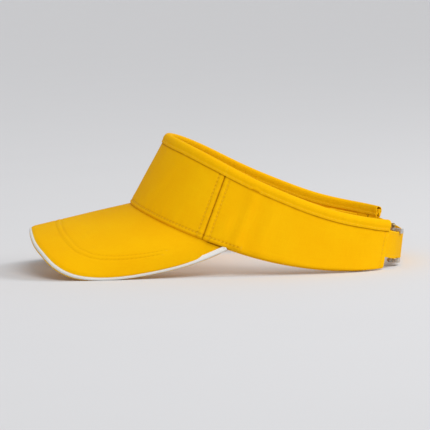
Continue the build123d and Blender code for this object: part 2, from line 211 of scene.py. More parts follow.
def cloth_grid(
    name: str,
    columns: int,
    rows: int,
    place: Callable[[Array, Array], Array],
    size: tuple[float, float],
    shade: Callable[[Array, Array], Array] | None = None,
) -> Object:
    """Add a grid and lay it on a surface.

    Args:
        name: Name of the piece.
        columns: Faces along the first direction.
        rows: Faces along the second direction.
        place: Points in metres for shares along both directions.
        size: Length and width in millimetres, for the weave's own coordinates.
        shade: Share of painted groove shade, from 0 to 1, for shares along both directions.

    Returns:
        The cloth, one face thick, with its UV map in metres, a rim attribute that is 0 on its
        outline and grows by 1 each centimetre inwards, and an attribute of painted groove shade.
    """
    bpy.ops.object.select_all(action="DESELECT")
    bpy.ops.mesh.primitive_grid_add(x_subdivisions=columns, y_subdivisions=rows, size=2)
    obj = bpy.context.active_object
    obj.name = obj.data.name = name
    mesh = obj.data
    flat = np.zeros(len(mesh.vertices) * 3)
    mesh.vertices.foreach_get("co", flat)
    flat = flat.reshape(-1, 3)
    u, v = (flat[:, 0] + 1) / 2, (flat[:, 1] + 1) / 2
    mesh.vertices.foreach_set("co", place(u, v).astype(np.float32).ravel())
    corners = np.zeros(len(mesh.loops), np.int32)
    mesh.loops.foreach_get("vertex_index", corners)
    laid = np.stack([u[corners] * size[0], v[corners] * size[1]], axis=1) * MM
    mesh.uv_layers.active.data.foreach_set("uv", laid.astype(np.float32).ravel())
    inside = np.minimum(np.minimum(u, 1 - u) * size[0], np.minimum(v, 1 - v) * size[1]) / 10
    rim = mesh.attributes.new("rim", "FLOAT", "POINT")
    rim.data.foreach_set("value", inside.astype(np.float32))
    # painted shade of seams, needle holes and edges, kept as a point attribute
    painted_groove_shade = mesh.attributes.new("painted_groove_shade", "FLOAT", "POINT")
    depth = shade(u, v) if shade else np.zeros_like(u)
    painted_groove_shade.data.foreach_set("value", depth.astype(np.float32))
    mesh.update()
    return obj


def thicken(
    obj: Object, thickness: float, rounding: float = 0.25, segments: int = 2, even: bool = True
) -> None:
    """Give cloth its thickness, away from its outer face, and round its rim.

    Args:
        obj: The cloth.
        thickness: Millimetres.
        rounding: Radius of the rim in millimetres.
        segments: Faces round the rim.
        even: False where the cloth runs out to a point.
    """
    apply_modifier(obj, "SOLIDIFY", thickness=thickness * MM, offset=-1.0, use_even_offset=even)
    if rounding:
        apply_modifier(
            obj,
            "BEVEL",
            width=rounding * MM,
            segments=segments,
            limit_method="ANGLE",
            angle_limit=radians(55),
            use_clamp_overlap=True,
        )
    smooth(obj)


def declare(obj: Object, width: float, length: float) -> Object:
    """Work out the flat cut of a piece of cloth, which is neither kept nor used.

    Args:
        obj: The cloth.
        width: Widest extent of the flat cut, in millimetres.
        length: Length of the flat cut, in millimetres.

    Returns:
        The same piece.
    """
    flat = (max(width, NARROWEST_CUT) * MM, max(length, NARROWEST_CUT) * MM)
    return obj


# ---- Shapes ----


@dataclass
class BandShape:
    """The tapered head band's outer cloth surface and its two edges, in the band's own frame."""

    origin: Vector = field(default_factory=Vector)
    front: float = 97.0
    rear: float = 97.0
    rear_radius: float = 142.0
    corner_radius: float = 42.0
    corner_half_spacing: float = 33.8
    side_radius: float = 240.0
    side_start: float = 80.0
    taper: float = 10.95
    tilt: float = 18.82
    seam_angle: float = 109.5
    left_end_angle: float = 48.0
    right_end_angle: float = 34.0
    cloth: float = 0.9
    gap: float = 0.05
    pocket: float = 1.4
    strap_height: float = 29.4
    vertex_x: float = -20.0
    vertex_z: float = -4.1
    front_rise: float = 4.1
    rear_rise: float = 16.5
    rear_run: float = 95.0
    top_points: tuple = (
        (-110.0, 54.2), (-84.0, 53.8), (-57.0, 50.6), (-26.0, 45.4), (5.0, 42.2),
        (33.0, 41.2), (57.0, 43.2), (82.0, 46.6), (125.0, 52.6),
    )

    def __post_init__(self) -> None:
        """Work out the arcs of the outline."""
        p1 = np.arcsin(self.corner_half_spacing / (self.rear_radius - self.corner_radius))
        p2 = radians(self.side_start)
        rear_x = self.rear - self.rear_radius
        corner_x = rear_x + (self.rear_radius - self.corner_radius) * cos(p1)
        reach = self.side_radius - self.corner_radius
        side_x, side_y = corner_x - reach * cos(p2), self.corner_half_spacing - reach * sin(p2)
        p3 = 2 * np.arctan2(-side_y, self.side_radius - side_x - self.front)
        to_front = -side_y / sin(p3)
        self.stops = np.array([0.0, p1, p2, p3, pi])
        self.radii = np.array(
            [self.rear_radius, self.corner_radius, self.side_radius, self.side_radius - to_front]
        )
        self.centre_x = np.array([rear_x, corner_x, side_x, side_x + to_front * cos(p3)])
        self.centre_y = np.array([0.0, self.corner_half_spacing, side_y, 0.0])
        self.runs = np.concatenate([[0.0], np.cumsum(self.radii * np.diff(self.stops))])
        self.top_line = SmoothLine(self.top_points)
        self.lining_inset = self.cloth + self.pocket + 2 * self.gap
        self.inner_inset = self.lining_inset + self.cloth + self.gap

    def wrap(self, run: Array) -> Array:
        """The same place as a run from the middle of the back, to the left or to the right."""
        return (run + self.half_round) % (2 * self.half_round) - self.half_round

    def past_end(self, run: Array) -> Array:
        """Distance from a side's end towards the front."""
        end = np.where(run < 0, self.end(Side.LEFT), self.end(Side.RIGHT))
        return np.abs(run) - end

    def over_bottom(self, clearance: float) -> Callable[[Array], Array]:
        """Height at a run, a clearance over the bottom edge."""
        return lambda run: self.bottom(run) + clearance

    def under_top(self, clearance: float) -> Callable[[Array], Array]:
        """Height at a run, a clearance under the top edge."""
        return lambda run: self.top(run) - clearance

    def spans(self, room: float, right: float, left: float) -> tuple:
        """Lay out the three lengths that the band is sewn from.

        Args:
            room: Clearance at each front seam.
            right: Distance from the middle of the back to the rear of the right length.
            left: The same for the left length.

        Returns:
            A label, the runs where it starts and ends, and a body for each length.
        """
        near = self.seam - room
        return (
            ("front", (self.seam + room, 2 * self.half_round - self.seam - room), ROOT),
            ("right", (right, near), ROOT),
            ("left", (-near, -left), LEFT),
        )

    @property
    def half_round(self) -> float:
        """Run from the middle of the back to the middle of the front."""
        return float(self.runs[-1])

    @property
    def seam(self) -> float:
        """Run of the seam between the front and a side."""
        return self.run(self.seam_angle)

    def end(self, side: Side) -> float:
        """Run of a side's end at the back."""
        return self.run(self.left_end_angle if side is Side.LEFT else self.right_end_angle)

    def run(self, angle: float) -> float:
        """Distance along the outline from the middle of the back to a direction in degrees."""
        return float(np.interp(radians(angle), self.stops, self.runs))

    def angle(self, run: Array) -> Array:
        """Direction in radians, from -pi to pi, at a distance along the outline."""
        wrapped = self.wrap(run)
        return np.sign(wrapped) * np.interp(np.abs(wrapped), self.runs, self.stops)

    def own(self, run: Array, inset: Array, height: Array) -> Array:
        """Points in the band's own frame, in millimetres."""
        angle = self.angle(run)
        arc = np.clip(np.searchsorted(self.stops, np.abs(angle), side="left") - 1, 0, 3)
        side = np.where(angle < 0, -1.0, 1.0)
        reach = self.radii[arc] - inset - height * tan(radians(self.taper))
        x = self.centre_x[arc] + reach * np.cos(angle)
        y = side * self.centre_y[arc] + reach * np.sin(angle)
        return np.stack(np.broadcast_arrays(x, y, height), axis=-1)

    def stand(self, points: Array) -> Array:
        """Move points from the band's own frame to where the visor stands, in metres."""
        c, s = cos(radians(self.tilt)), sin(radians(self.tilt))
        turn = np.array([[c, 0, s], [0, 1, 0], [-s, 0, c]])
        return points @ turn.T * MM + np.array(self.origin)

    def place(self, run: Array, inset: Array, height: Array) -> Array:
        """Points of the surface where the visor stands, in metres."""
        run, inset, height = np.broadcast_arrays(run, inset, height)
        return self.stand(self.own(run, inset, height))

    def bottom(self, run: Array, inset: float = 0.0) -> Array:
        """Height of the bottom edge."""
        height = np.zeros_like(run)
        for _ in range(4):
            x = self.own(run, inset, height)[..., 0]
            front_run = self.vertex_x + self.front
            front = self.front_rise * ((self.vertex_x - x) / front_run) ** 2
            rear = self.rear_rise * ((x - self.vertex_x) / self.rear_run) ** 2
            height = self.vertex_z + np.where(x < self.vertex_x, front, rear)
        return height

    def top(self, run: Array, inset: float = 0.0) -> Array:
        """Height of the top edge."""
        height = np.full_like(run, 45.0)
        for _ in range(4):
            height = self.top_line.height_at(self.own(run, inset, height)[..., 0])
        return height


@dataclass
class BrimShape:
    """The brim's arch, which runs forwards and a little down, and the line of its edge."""

    band: BandShape
    slope: float = 11.78
    crown_radius: float = 115.3
    side_radius: float = 33.0
    turn: float = 32.0
    tuck: float = 1.3
    edge_points: tuple = (
        (71.0, 0.0), (69.5, 6.4), (66.0, 12.7), (61.5, 19.6), (54.2, 27.5), (45.8, 32.9),
        (36.8, 36.4), (25.4, 39.3), (0.0, 42.1), (-36.0, 41.4), (-57.0, 37.8),
    )
    reach_behind_seam: float = 30.0
    swing_room: float = 1.2

    def __post_init__(self) -> None:
        """Work out the arch and the flat shapes of both edges."""
        crown = radians(self.turn)
        self.bend = self.crown_radius * crown
        self.side_y = (self.crown_radius - self.side_radius) * sin(crown)
        self.side_z = -self.crown_radius + (self.crown_radius - self.side_radius) * cos(crown)
        self.wall = self.bend + self.side_radius * (pi / 2 - crown)
        slope = radians(self.slope)
        start = self.band.stand(np.array([[-self.band.front, 0.0, 0.0]]))[0]
        self.start = np.array(start)
        self.axes = np.array(
            [[-cos(slope), 0, -sin(slope)], [0, 1, 0], [-sin(slope), 0, cos(slope)]]
        )
        edge = SmoothLine(self.edge_points).samples
        edge = np.stack([edge[:, 0], self.across(edge[:, 1])], axis=1)
        run = np.linspace(self.band.half_round, self.band.seam - self.reach_behind_seam, 400)
        free = fade((self.band.seam - run) / 5.0)
        height = self.band.bottom(run) + 0.5 - self.swing_room * free
        local = self.to_local(self.band.place(run, self.tuck, height))
        across, lift = self.on_arch(local)
        root = np.stack([local[:, 0], across], axis=1)
        gaps = np.linalg.norm(edge[:, None, :] - root[None, :, :], axis=-1)
        gaps[edge[:, 0] > 0] = np.inf
        last, stop = np.unravel_index(np.argmin(gaps), gaps.shape)
        edge[last] = root[stop]
        self.edge = SmoothLine(edge[np.linspace(0, last, 60).round().astype(int)])
        self.root = SmoothLine(root[np.linspace(0, stop, 50).round().astype(int)])
        self.root_lift = lift[: stop + 1]
        self.end_run = float(run[stop])

    def to_local(self, points: Array) -> Array:
        """Forwards, sideways and up from the brim's start, in millimetres."""
        return (points - self.start) / MM @ self.axes.T

    def across(self, drop: Array) -> Array:
        """Distance across the arch at a drop below its crown line."""
        crown_drop = self.crown_radius * (1 - cos(radians(self.turn)))
        on_crown = self.crown_radius * np.arccos(np.clip(1 - drop / self.crown_radius, -1, 1))
        lean = np.arccos(np.clip((-drop - self.side_z) / self.side_radius, 0, 1))
        on_side = self.bend + self.side_radius * (lean - radians(self.turn))
        wall_drop = -self.side_z
        result = np.where(drop <= crown_drop, on_crown, on_side)
        return np.where(drop > wall_drop, self.wall + drop - wall_drop, result)

    def on_arch(self, local: Array) -> tuple[Array, Array]:
        """Distance across the arch, and lift over it, of points beside it."""
        y, z = local[:, 1], local[:, 2]
        lean = np.arctan2(y, z + self.crown_radius)
        crown_lift = np.hypot(y, z + self.crown_radius) - self.crown_radius
        side_lean = np.arctan2(y - self.side_y, z - self.side_z)
        side_lift = np.hypot(y - self.side_y, z - self.side_z) - self.side_radius
        on_crown = lean < radians(self.turn)
        on_side = self.bend + self.side_radius * (side_lean - radians(self.turn))
        below = z < self.side_z
        across = np.where(on_crown, self.crown_radius * lean, on_side)
        across = np.where(below, self.wall + self.side_z - z, across)
        lift = np.where(on_crown, crown_lift, side_lift)
        return across, np.where(below, y - self.side_y - self.side_radius, lift)

    def arch(self, forwards: Array, across: Array, lift: Array) -> Array:
        """Points over the arch, in metres where the visor stands."""
        side, far = np.where(across < 0, -1.0, 1.0), np.abs(across)
        crown = np.minimum(far, self.bend) / self.crown_radius
        y = (self.crown_radius + lift) * np.sin(crown)
        z = -self.crown_radius + (self.crown_radius + lift) * np.cos(crown)
        lean = radians(self.turn) + (np.minimum(far, self.wall) - self.bend) / self.side_radius
        side_y = self.side_y + (self.side_radius + lift) * np.sin(lean)
        side_z = self.side_z + (self.side_radius + lift) * np.cos(lean)
        on_side = far > self.bend
        y, z = np.where(on_side, side_y, y), np.where(on_side, side_z, z)
        z = z - np.maximum(far - self.wall, 0)
        local = np.stack(np.broadcast_arrays(forwards, side * y, z), axis=-1)
        return local @ self.axes * MM + self.start

    def ray(self, along: Array) -> Array:
        """Distance from the band to the brim's edge, in millimetres."""
        share = np.abs(along)
        return np.maximum(np.linalg.norm(self.edge.at(share) - self.root.at(share), axis=-1), 0.5)

    def outwards(self, share: Array, step: float) -> Array:
        """Flat unit directions out over the edge, from a small step along it to both sides."""
        edge = self.edge.at(np.minimum(share + step, 1)) - self.edge.at(np.maximum(share - step, 0))
        edge /= np.linalg.norm(edge, axis=-1)[..., None]
        return np.stack([edge[..., 1], -edge[..., 0]], axis=-1)

    def place(self, along: Array, out: Array, lift: Array, grow: float = 0.0) -> Array:
        """Points of the brim.

        Args:
            along: From -1 at the left end, through 0 at the front, to 1 at the right end.
            out: From 0 at the band to 1 at the edge.
            lift: Millimetres over the top cover's face.
            grow: Millimetres that the edge is moved outwards.

        Returns:
            Points in metres where the visor stands.
        """
        side, share = np.where(along < 0, -1.0, 1.0), np.abs(along)
        root, edge = self.root.at(share), self.edge.at(share)
        ray = edge - root
        length = np.maximum(np.linalg.norm(ray, axis=-1), 0.5)[..., None]
        reach = grow * out * fade((1 - share) / 0.05)
        flat = root + ray * out[..., None] + self.outwards(share, 0.01) * reach[..., None]
        near = hump(np.maximum(out, 0)[..., None] * length, 16.0)[..., 0]
        settle = np.interp(share, np.linspace(0, 1, len(self.root_lift)), self.root_lift) * near
        return self.arch(flat[..., 0], side * flat[..., 1], lift + settle)


# ---- Finishes ----


def node_group(name: str, inputs: dict[str, str], outputs: dict[str, str]) -> NodeTree:
    """Make an empty shader node group.

    Args:
        name: Name of the group.
        inputs: Socket types by name.
        outputs: Socket types by name.

    Returns:
        The group, with its input and output nodes.
    """
    tree = bpy.data.node_groups.new(name, "ShaderNodeTree")
    for side, sockets in (("INPUT", inputs), ("OUTPUT", outputs)):
        for socket, kind in sockets.items():
            tree.interface.new_socket(socket, in_out=side, socket_type=kind)
    tree.nodes.new("NodeGroupInput").name = "in"
    tree.nodes.new("NodeGroupOutput").name = "out"
    return tree


class Wiring:
    """Short way to add and link shader nodes in one tree."""

    def __init__(self, tree: NodeTree) -> None:
        """Keep the tree."""
        self.tree = tree

    def feed(self, node: bpy.types.Node, inputs: dict) -> None:
        """Link or set a node's inputs, by name or number."""
        for socket, value in inputs.items():
            if isinstance(value, bpy.types.NodeSocket):
                self.tree.links.new(value, node.inputs[socket])
            else:
                node.inputs[socket].default_value = value

    def add(self, kind: str, links: dict | None = None, **settings: object) -> bpy.types.Node:
        """Add a node.

        Args:
            kind: Node type, without the ShaderNode at its start.
            links: Input sockets by name or number, each a value or another node's output.
            **settings: Properties of the node.

        Returns:
            The node.
        """
        node = self.tree.nodes.new("ShaderNode" + kind)
        for key, value in settings.items():
            setattr(node, key, value)
        self.feed(node, links or {})
        return node

    def sum(self, operation: str, a: object, b: object = 0.0, c: object = 0.0) -> object:
        """Output of a Math node."""
        return self.add("Math", {0: a, 1: b, 2: c}, operation=operation).outputs[0]

    def mix(self, share: object, first: object, second: Sequence[float]) -> object:
        """Output of a Mix node between two colours, the first of them plain or mixed already."""
        if isinstance(first, tuple):
            first = (*first, 1)
        links = {0: share, 6: first, 7: (*second, 1)}
        return self.add("Mix", links, data_type="RGBA").outputs[2]

    def noise(self, place: object, scale: float, detail: float) -> object:
        """Output of a Noise Texture node."""
        links = {"Vector": place, "Scale": scale, "Detail": detail}
        return self.add("TexNoise", links).outputs[0]

    def bump(self, height: object, strength: float, depth: float) -> object:
        """Output of a Bump node, for a depth in millimetres."""
        links = {"Height": height, "Strength": strength, "Distance": depth * MM}
        return self.add("Bump", links).outputs[0]

    def spread(self, value: object, low: float, high: float, to: tuple[float, float]) -> object:
        """Output of a Map Range node that takes low..high to another range."""
        links = {0: value, 1: low, 2: high, 3: to[0], 4: to[1]}
        return self.add("MapRange", links).outputs[0]


def new_material(name: str) -> tuple[Material, Wiring, bpy.types.Node]:
    """Make a material.

    Args:
        name: Name of the material.

    Returns:
        The material, the wiring of its nodes and its shader.
    """
    material = bpy.data.materials.new(name)
    material.use_nodes = True
    tree = material.node_tree
    return material, Wiring(tree), tree.nodes["Principled BSDF"]


def weave_group() -> NodeTree:
    """Twill: slanted ribs crossed by single threads."""
    tree = node_group(
        "twill_weave",
        {"Cloth": "NodeSocketVector", "Threads": "NodeSocketFloat"},
        {"Height": "NodeSocketFloat", "Line": "NodeSocketFloat"},
    )
    wire, given = Wiring(tree), tree.nodes["in"].outputs
    cloth = wire.add("SeparateXYZ", {0: given["Cloth"]}).outputs
    across = wire.sum("MULTIPLY", cloth[0], given["Threads"])
    up = wire.sum("MULTIPLY", cloth[1], given["Threads"])
    rib = wire.sum("SINE", wire.sum("MULTIPLY", wire.sum("ADD", across, up), 2 * pi))
    cross = wire.sum("MULTIPLY", wire.sum("SUBTRACT", across, wire.sum("MULTIPLY", up, 3.0)), pi)
    thread = wire.sum("SINE", cross)
    line = wire.spread(rib, -1.0, 1.0, (0.0, 1.0))
    knots = wire.sum("MULTIPLY_ADD", thread, 0.22, line)
    wire.feed(tree.nodes["out"], {"Height": knots, "Line": line})
    return tree


def slub_group() -> NodeTree:
    """Uneven dye and thick threads: a slow patchiness and fine streaks both ways."""
    tree = node_group(
        "slub_and_dye",
        {"Cloth": "NodeSocketVector", "Place": "NodeSocketVector"},
        {"Patch": "NodeSocketFloat", "Streak": "NodeSocketFloat", "Fuzz": "NodeSocketFloat"},
    )
    wire, given = Wiring(tree), tree.nodes["in"].outputs
    streaks = []
    for stretch in ((70.0, 1900.0, 1.0), (1900.0, 90.0, 1.0)):
        long = wire.add("VectorMath", {0: given["Cloth"], 1: stretch}, operation="MULTIPLY")
        streaks.append(wire.noise(long.outputs[0], 1.0, 2.0))
    found = {
        "Patch": wire.noise(given["Place"], 38.0, 4.0),
        "Streak": wire.sum("MULTIPLY", wire.sum("ADD", streaks[0], streaks[1]), 0.5),
        "Fuzz": wire.noise(given["Place"], 2600.0, 3.0),
    }
    wire.feed(tree.nodes["out"], found)
    return tree


def wear_group() -> NodeTree:
    """Rubbed edges: strongest on the outline, broken up by noise."""
    tree = node_group(
        "rubbed_edge",
        {"Rim": "NodeSocketFloat", "Place": "NodeSocketVector", "Reach": "NodeSocketFloat"},
        {"Mask": "NodeSocketFloat"},
    )
    wire, given = Wiring(tree), tree.nodes["in"].outputs
    noise = wire.noise(given["Place"], 420.0, 3.0)
    near = wire.sum("SUBTRACT", 1.0, wire.sum("DIVIDE", given["Rim"], given["Reach"]))
    near = wire.add("Clamp", {0: near}).outputs[0]
    mask = wire.sum("MULTIPLY", near, wire.spread(noise, 0.35, 0.7, (0.1, 1.0)))
    wire.feed(tree.nodes["out"], {"Mask": mask})
    return tree


class Groups:
    """The node groups that several finishes share, each made once."""

    def __init__(self) -> None:
        """Make the groups."""
        self.weave, self.slub, self.wear = weave_group(), slub_group(), wear_group()


@dataclass(frozen=True)
class ClothFinish:
    """A woven cotton finish."""

    name: str
    slot: str
    colour: tuple[float, float, float]
    deep: tuple[float, float, float]
    rubbed: tuple[float, float, float]
    threads: float = 1750.0
    relief: float = 0.05
    roughness: tuple[float, float] = (0.80, 0.94)
    sheen: float = 0.08
    reach: float = 0.09
    # colour of the painted shade in seams, needle holes and under the edges of parts
    shade: tuple[float, float, float] = (0.46, 0.17, 0.001)

    def make(self, groups: Groups) -> Material:
        """Build the material.

        Args:
            groups: Shared node groups.

        Returns:
            The material.
        """
        material, wire, shader = new_material(self.name)
        where = wire.add("TexCoord").outputs
        rim, painted_groove_shade = (
            wire.add("Attribute", attribute_name=name, attribute_type="GEOMETRY").outputs["Fac"]
            for name in ("rim", "painted_groove_shade")
        )
        given = {"Cloth": where["UV"], "Threads": self.threads}
        weave = wire.add("Group", given, node_tree=groups.weave)
        given = {"Cloth": where["UV"], "Place": where["Object"]}
        slub = wire.add("Group", given, node_tree=groups.slub)
        given = {"Place": where["Object"], "Rim": rim, "Reach": self.reach}
        wear = wire.add("Group", given, node_tree=groups.wear)
        valley = wire.spread(weave.outputs["Line"], 0.0, 0.5, (0.55, 0.0))
        patch = wire.spread(slub.outputs["Patch"], 0.3, 0.75, (0.0, 0.42))
        streak = wire.spread(slub.outputs["Streak"], 0.4, 0.62, (0.0, 0.3))
        depth = wire.sum("ADD", wire.sum("ADD", valley, patch), streak)
        depth = wire.add("Clamp", {0: depth}).outputs[0]
        tone = wire.mix(depth, self.colour, self.deep)
        worn = wire.mix(wear.outputs["Mask"], tone, self.rubbed)
        height = wire.sum("MULTIPLY_ADD", slub.outputs["Streak"], 0.6, weave.outputs["Height"])
        height = wire.sum("MULTIPLY_ADD", slub.outputs["Fuzz"], 0.35, height)
        found = {
            # painted shade: the colour darkens towards the shade colour in seams, needle holes and
            # under the edges of parts
            "Base Color": wire.mix(painted_groove_shade, worn, self.shade),
            "Roughness": wire.spread(slub.outputs["Fuzz"], 0.3, 0.7, self.roughness),
            "Normal": wire.bump(height, 0.7, self.relief),
            "Sheen Weight": self.sheen,
            "Sheen Roughness": 0.45,
            "Sheen Tint": (*self.rubbed, 1),
            "Specular IOR Level": 0.12,
            "Specular Tint": (*self.rubbed, 1),
        }
        wire.feed(shader, found)
        return material


@dataclass(frozen=True)
class ThreadFinish:
    """Sewing thread: two plies twisted together."""

    name: str
    slot: str
    colour: tuple[float, float, float]
    deep: tuple[float, float, float]

    def make(self, groups: Groups) -> Material:
        """Build the material.

        Args:
            groups: Shared node groups.

        Returns:
            The material.
        """
        material, wire, shader = new_material(self.name)
        where = wire.add("TexCoord").outputs["Object"]
        slub = wire.add("Group", {"Cloth": where, "Place": where}, node_tree=groups.slub)
        tone = wire.spread(slub.outputs["Fuzz"], 0.35, 0.65, (0.0, 1.0))
        found = {
            "Base Color": wire.mix(tone, self.colour, self.deep),
            "Roughness": wire.spread(slub.outputs["Streak"], 0.3, 0.7, (0.5, 0.7)),
            "Normal": wire.bump(slub.outputs["Fuzz"], 0.5, 0.05),
            "Sheen Weight": 0.05,
            "Specular IOR Level": 0.08,
            "Specular Tint": (*self.colour, 1),
        }
        wire.feed(shader, found)
        return material


@dataclass(frozen=True)
class MetalFinish:
    """Plated or brass hardware with a fine grain and darker tarnish."""

    name: str
    slot: str
    colour: tuple[float, float, float]
    tarnish: tuple[float, float, float]
    roughness: tuple[float, float]

    def make(self) -> Material:
        """Build the material."""
        material, wire, shader = new_material(self.name)
        where = wire.add("TexCoord").outputs["Object"]
        grain = wire.add("VectorMath", {0: where, 1: (600.0, 600.0, 9000.0)}, operation="MULTIPLY")
        lines = wire.noise(grain.outputs[0], 1.0, 3.0)
        dull = wire.spread(wire.noise(where, 520.0, 5.0), 0.48, 0.72, (0.0, 0.85))
        rough = wire.spread(lines, 0.3, 0.7, self.roughness)
        found = {
            "Base Color": wire.mix(dull, self.colour, self.tarnish),
            "Roughness": wire.sum("MULTIPLY_ADD", dull, 0.2, rough),
            "Normal": wire.bump(lines, 0.25, 0.02),
            "Metallic": 1.0,
        }
        wire.feed(shader, found)
        return material


@dataclass(frozen=True)
class BoardFinish:
    """Moulded board: matt, with a slight orange peel."""

    name: str = "moulded_board"
    slot: str = "board_plastic"
    colour: tuple[float, float, float] = (0.80, 0.80, 0.78)

    def make(self) -> Material:
        """Build the material."""
        material, wire, shader = new_material(self.name)
        peel = wire.noise(wire.add("TexCoord").outputs["Object"], 900.0, 4.0)
        dark = tuple(0.86 * c for c in self.colour)
        found = {
            "Base Color": wire.mix(peel, self.colour, dark),
            "Roughness": wire.spread(peel, 0.3, 0.7, (0.45, 0.62)),
            "Normal": wire.bump(peel, 0.4, 0.05),
        }
        wire.feed(shader, found)
        return material


class Wardrobe:
    """Every finish of the visor, made once."""

    def __init__(self) -> None:
        """Make all materials."""
        groups = Groups()
        yellow, deep = (0.91, 0.510, 0.003), (0.87, 0.410, 0.0015)
        rubbed = (0.97, 0.60, 0.012)
        cloths = (
            ClothFinish("yellow_twill", "yellow_twill", yellow, deep, rubbed),
            ClothFinish(
                "yellow_lining_cloth", "yellow_lining", (0.94, 0.50, 0.003), deep, rubbed, 2100.0
            ),
            ClothFinish(
                "yellow_sweat_cloth",
                "yellow_sweatband",
                (0.93, 0.48, 0.003),
                deep,
                rubbed,
                1500.0,
                0.08,
            ),
            ClothFinish(
                "white_tape_cloth",
                "white_trim",
                (0.86, 0.85, 0.82),
                (0.70, 0.69, 0.66),
                (0.92, 0.91, 0.88),
                2400.0,
                sheen=0.1,
            ),
            ClothFinish(
                "stiff_white_cloth",
                "white_buckram",
                (0.82, 0.81, 0.78),
                (0.62, 0.61, 0.58),
                (0.86, 0.85, 0.82),
                900.0,
                0.12,
            ),
        )
        self.made = {finish.slot: finish.make(groups) for finish in cloths}
        thread = ThreadFinish(
            "yellow_thread", "yellow_twill", (0.97, 0.57, 0.02), (0.80, 0.40, 0.01)
        )
        self.made["yellow_thread"] = thread.make(groups)
        steel = MetalFinish(
            "satin_plate", "buckle_metal", (0.62, 0.60, 0.56), (0.24, 0.21, 0.17), (0.25, 0.42)
        )
        brass = MetalFinish(
            "aged_brass", "pin_brass", (0.42, 0.31, 0.14), (0.16, 0.10, 0.05), (0.28, 0.5)
        )
        self.made["buckle_metal"], self.made["pin_brass"] = steel.make(), brass.make()
        self.made["board_plastic"] = BoardFinish().make()

    def dress(self, obj: Object, slot: str, material: str | None = None) -> None:
        """Give a piece its material, the named one or else the one kept under its slot."""
        obj.data.materials.clear()
        obj.data.materials.append(self.made[material or slot])


# ---- Stitching ----


@dataclass
class Thread:
    """One stitch, laid again and again along a row."""

    pitch: float = 2.7
    length: float = 2.1
    radius: float = 0.24

    def row(self, name: str, path: Callable[[Array], tuple[Array, Array]], length: float) -> Object:
        """Lay a row of stitches.

        Args:
            name: Name of the piece.
            path: Points and outward normals, in metres, for shares along the row.
            length: Length of the row in millimetres.

        Returns:
            The row as one piece.
        """
        bpy.ops.object.select_all(action="DESELECT")
        bpy.ops.mesh.primitive_uv_sphere_add(segments=6, ring_count=5, radius=MM)
        stitch = bpy.context.active_object
        bpy.ops.object.mode_set(mode="EDIT")
        bpy.ops.mesh.select_all(action="SELECT")
        bpy.ops.transform.resize(value=(self.radius, 0.8 * self.radius, self.length / 2))
        bpy.ops.object.mode_set(mode="OBJECT")
        bpy.ops.object.shade_smooth()
        count = max(2, round(length / self.pitch))
        share = self.length / self.pitch / count
        starts = np.arange(count) / count
        ends = starts + share
        first, up = path(starts)
        second, _ = path(np.minimum(ends, 1.0))
        copies = []
        for a, b, normal in zip(first, second, up):
            along = (Vector(b) - Vector(a)).normalized()
            outwards = Vector(normal)
            sideways = outwards.cross(along).normalized()
            outwards = along.cross(sideways)
            turn = Matrix((sideways, outwards, along)).transposed().to_4x4()
            copy = stitch.copy()
            copy.data = stitch.data.copy()
            copy.data.transform(Matrix.Translation((Vector(a) + Vector(b)) / 2) @ turn)
            bpy.context.collection.objects.link(copy)
            copies.append(copy)
        bpy.data.objects.remove(stitch)
        return merge(name, copies)


def normals_of(place: Callable[[Array, Array], Array], u: Array, v: Array) -> Array:
    """Outward unit normals of a surface, from small steps along both its directions."""
    step = 1e-3
    along = place(u + step, v) - place(u - step, v)
    up = place(u, v + step) - place(u, v - step)
    normal = np.cross(along, up)
    return normal / np.linalg.norm(normal, axis=-1)[:, None]


def path_length(path: Callable[[Array], tuple[Array, Array]], count: int) -> float:
    """Length of a row's path in millimetres, measured between a count of points."""
    points, _ = path(np.linspace(0, 1, count))
    return float(np.linalg.norm(np.diff(points, axis=0), axis=1).sum()) / MM


# ---- The head band ----


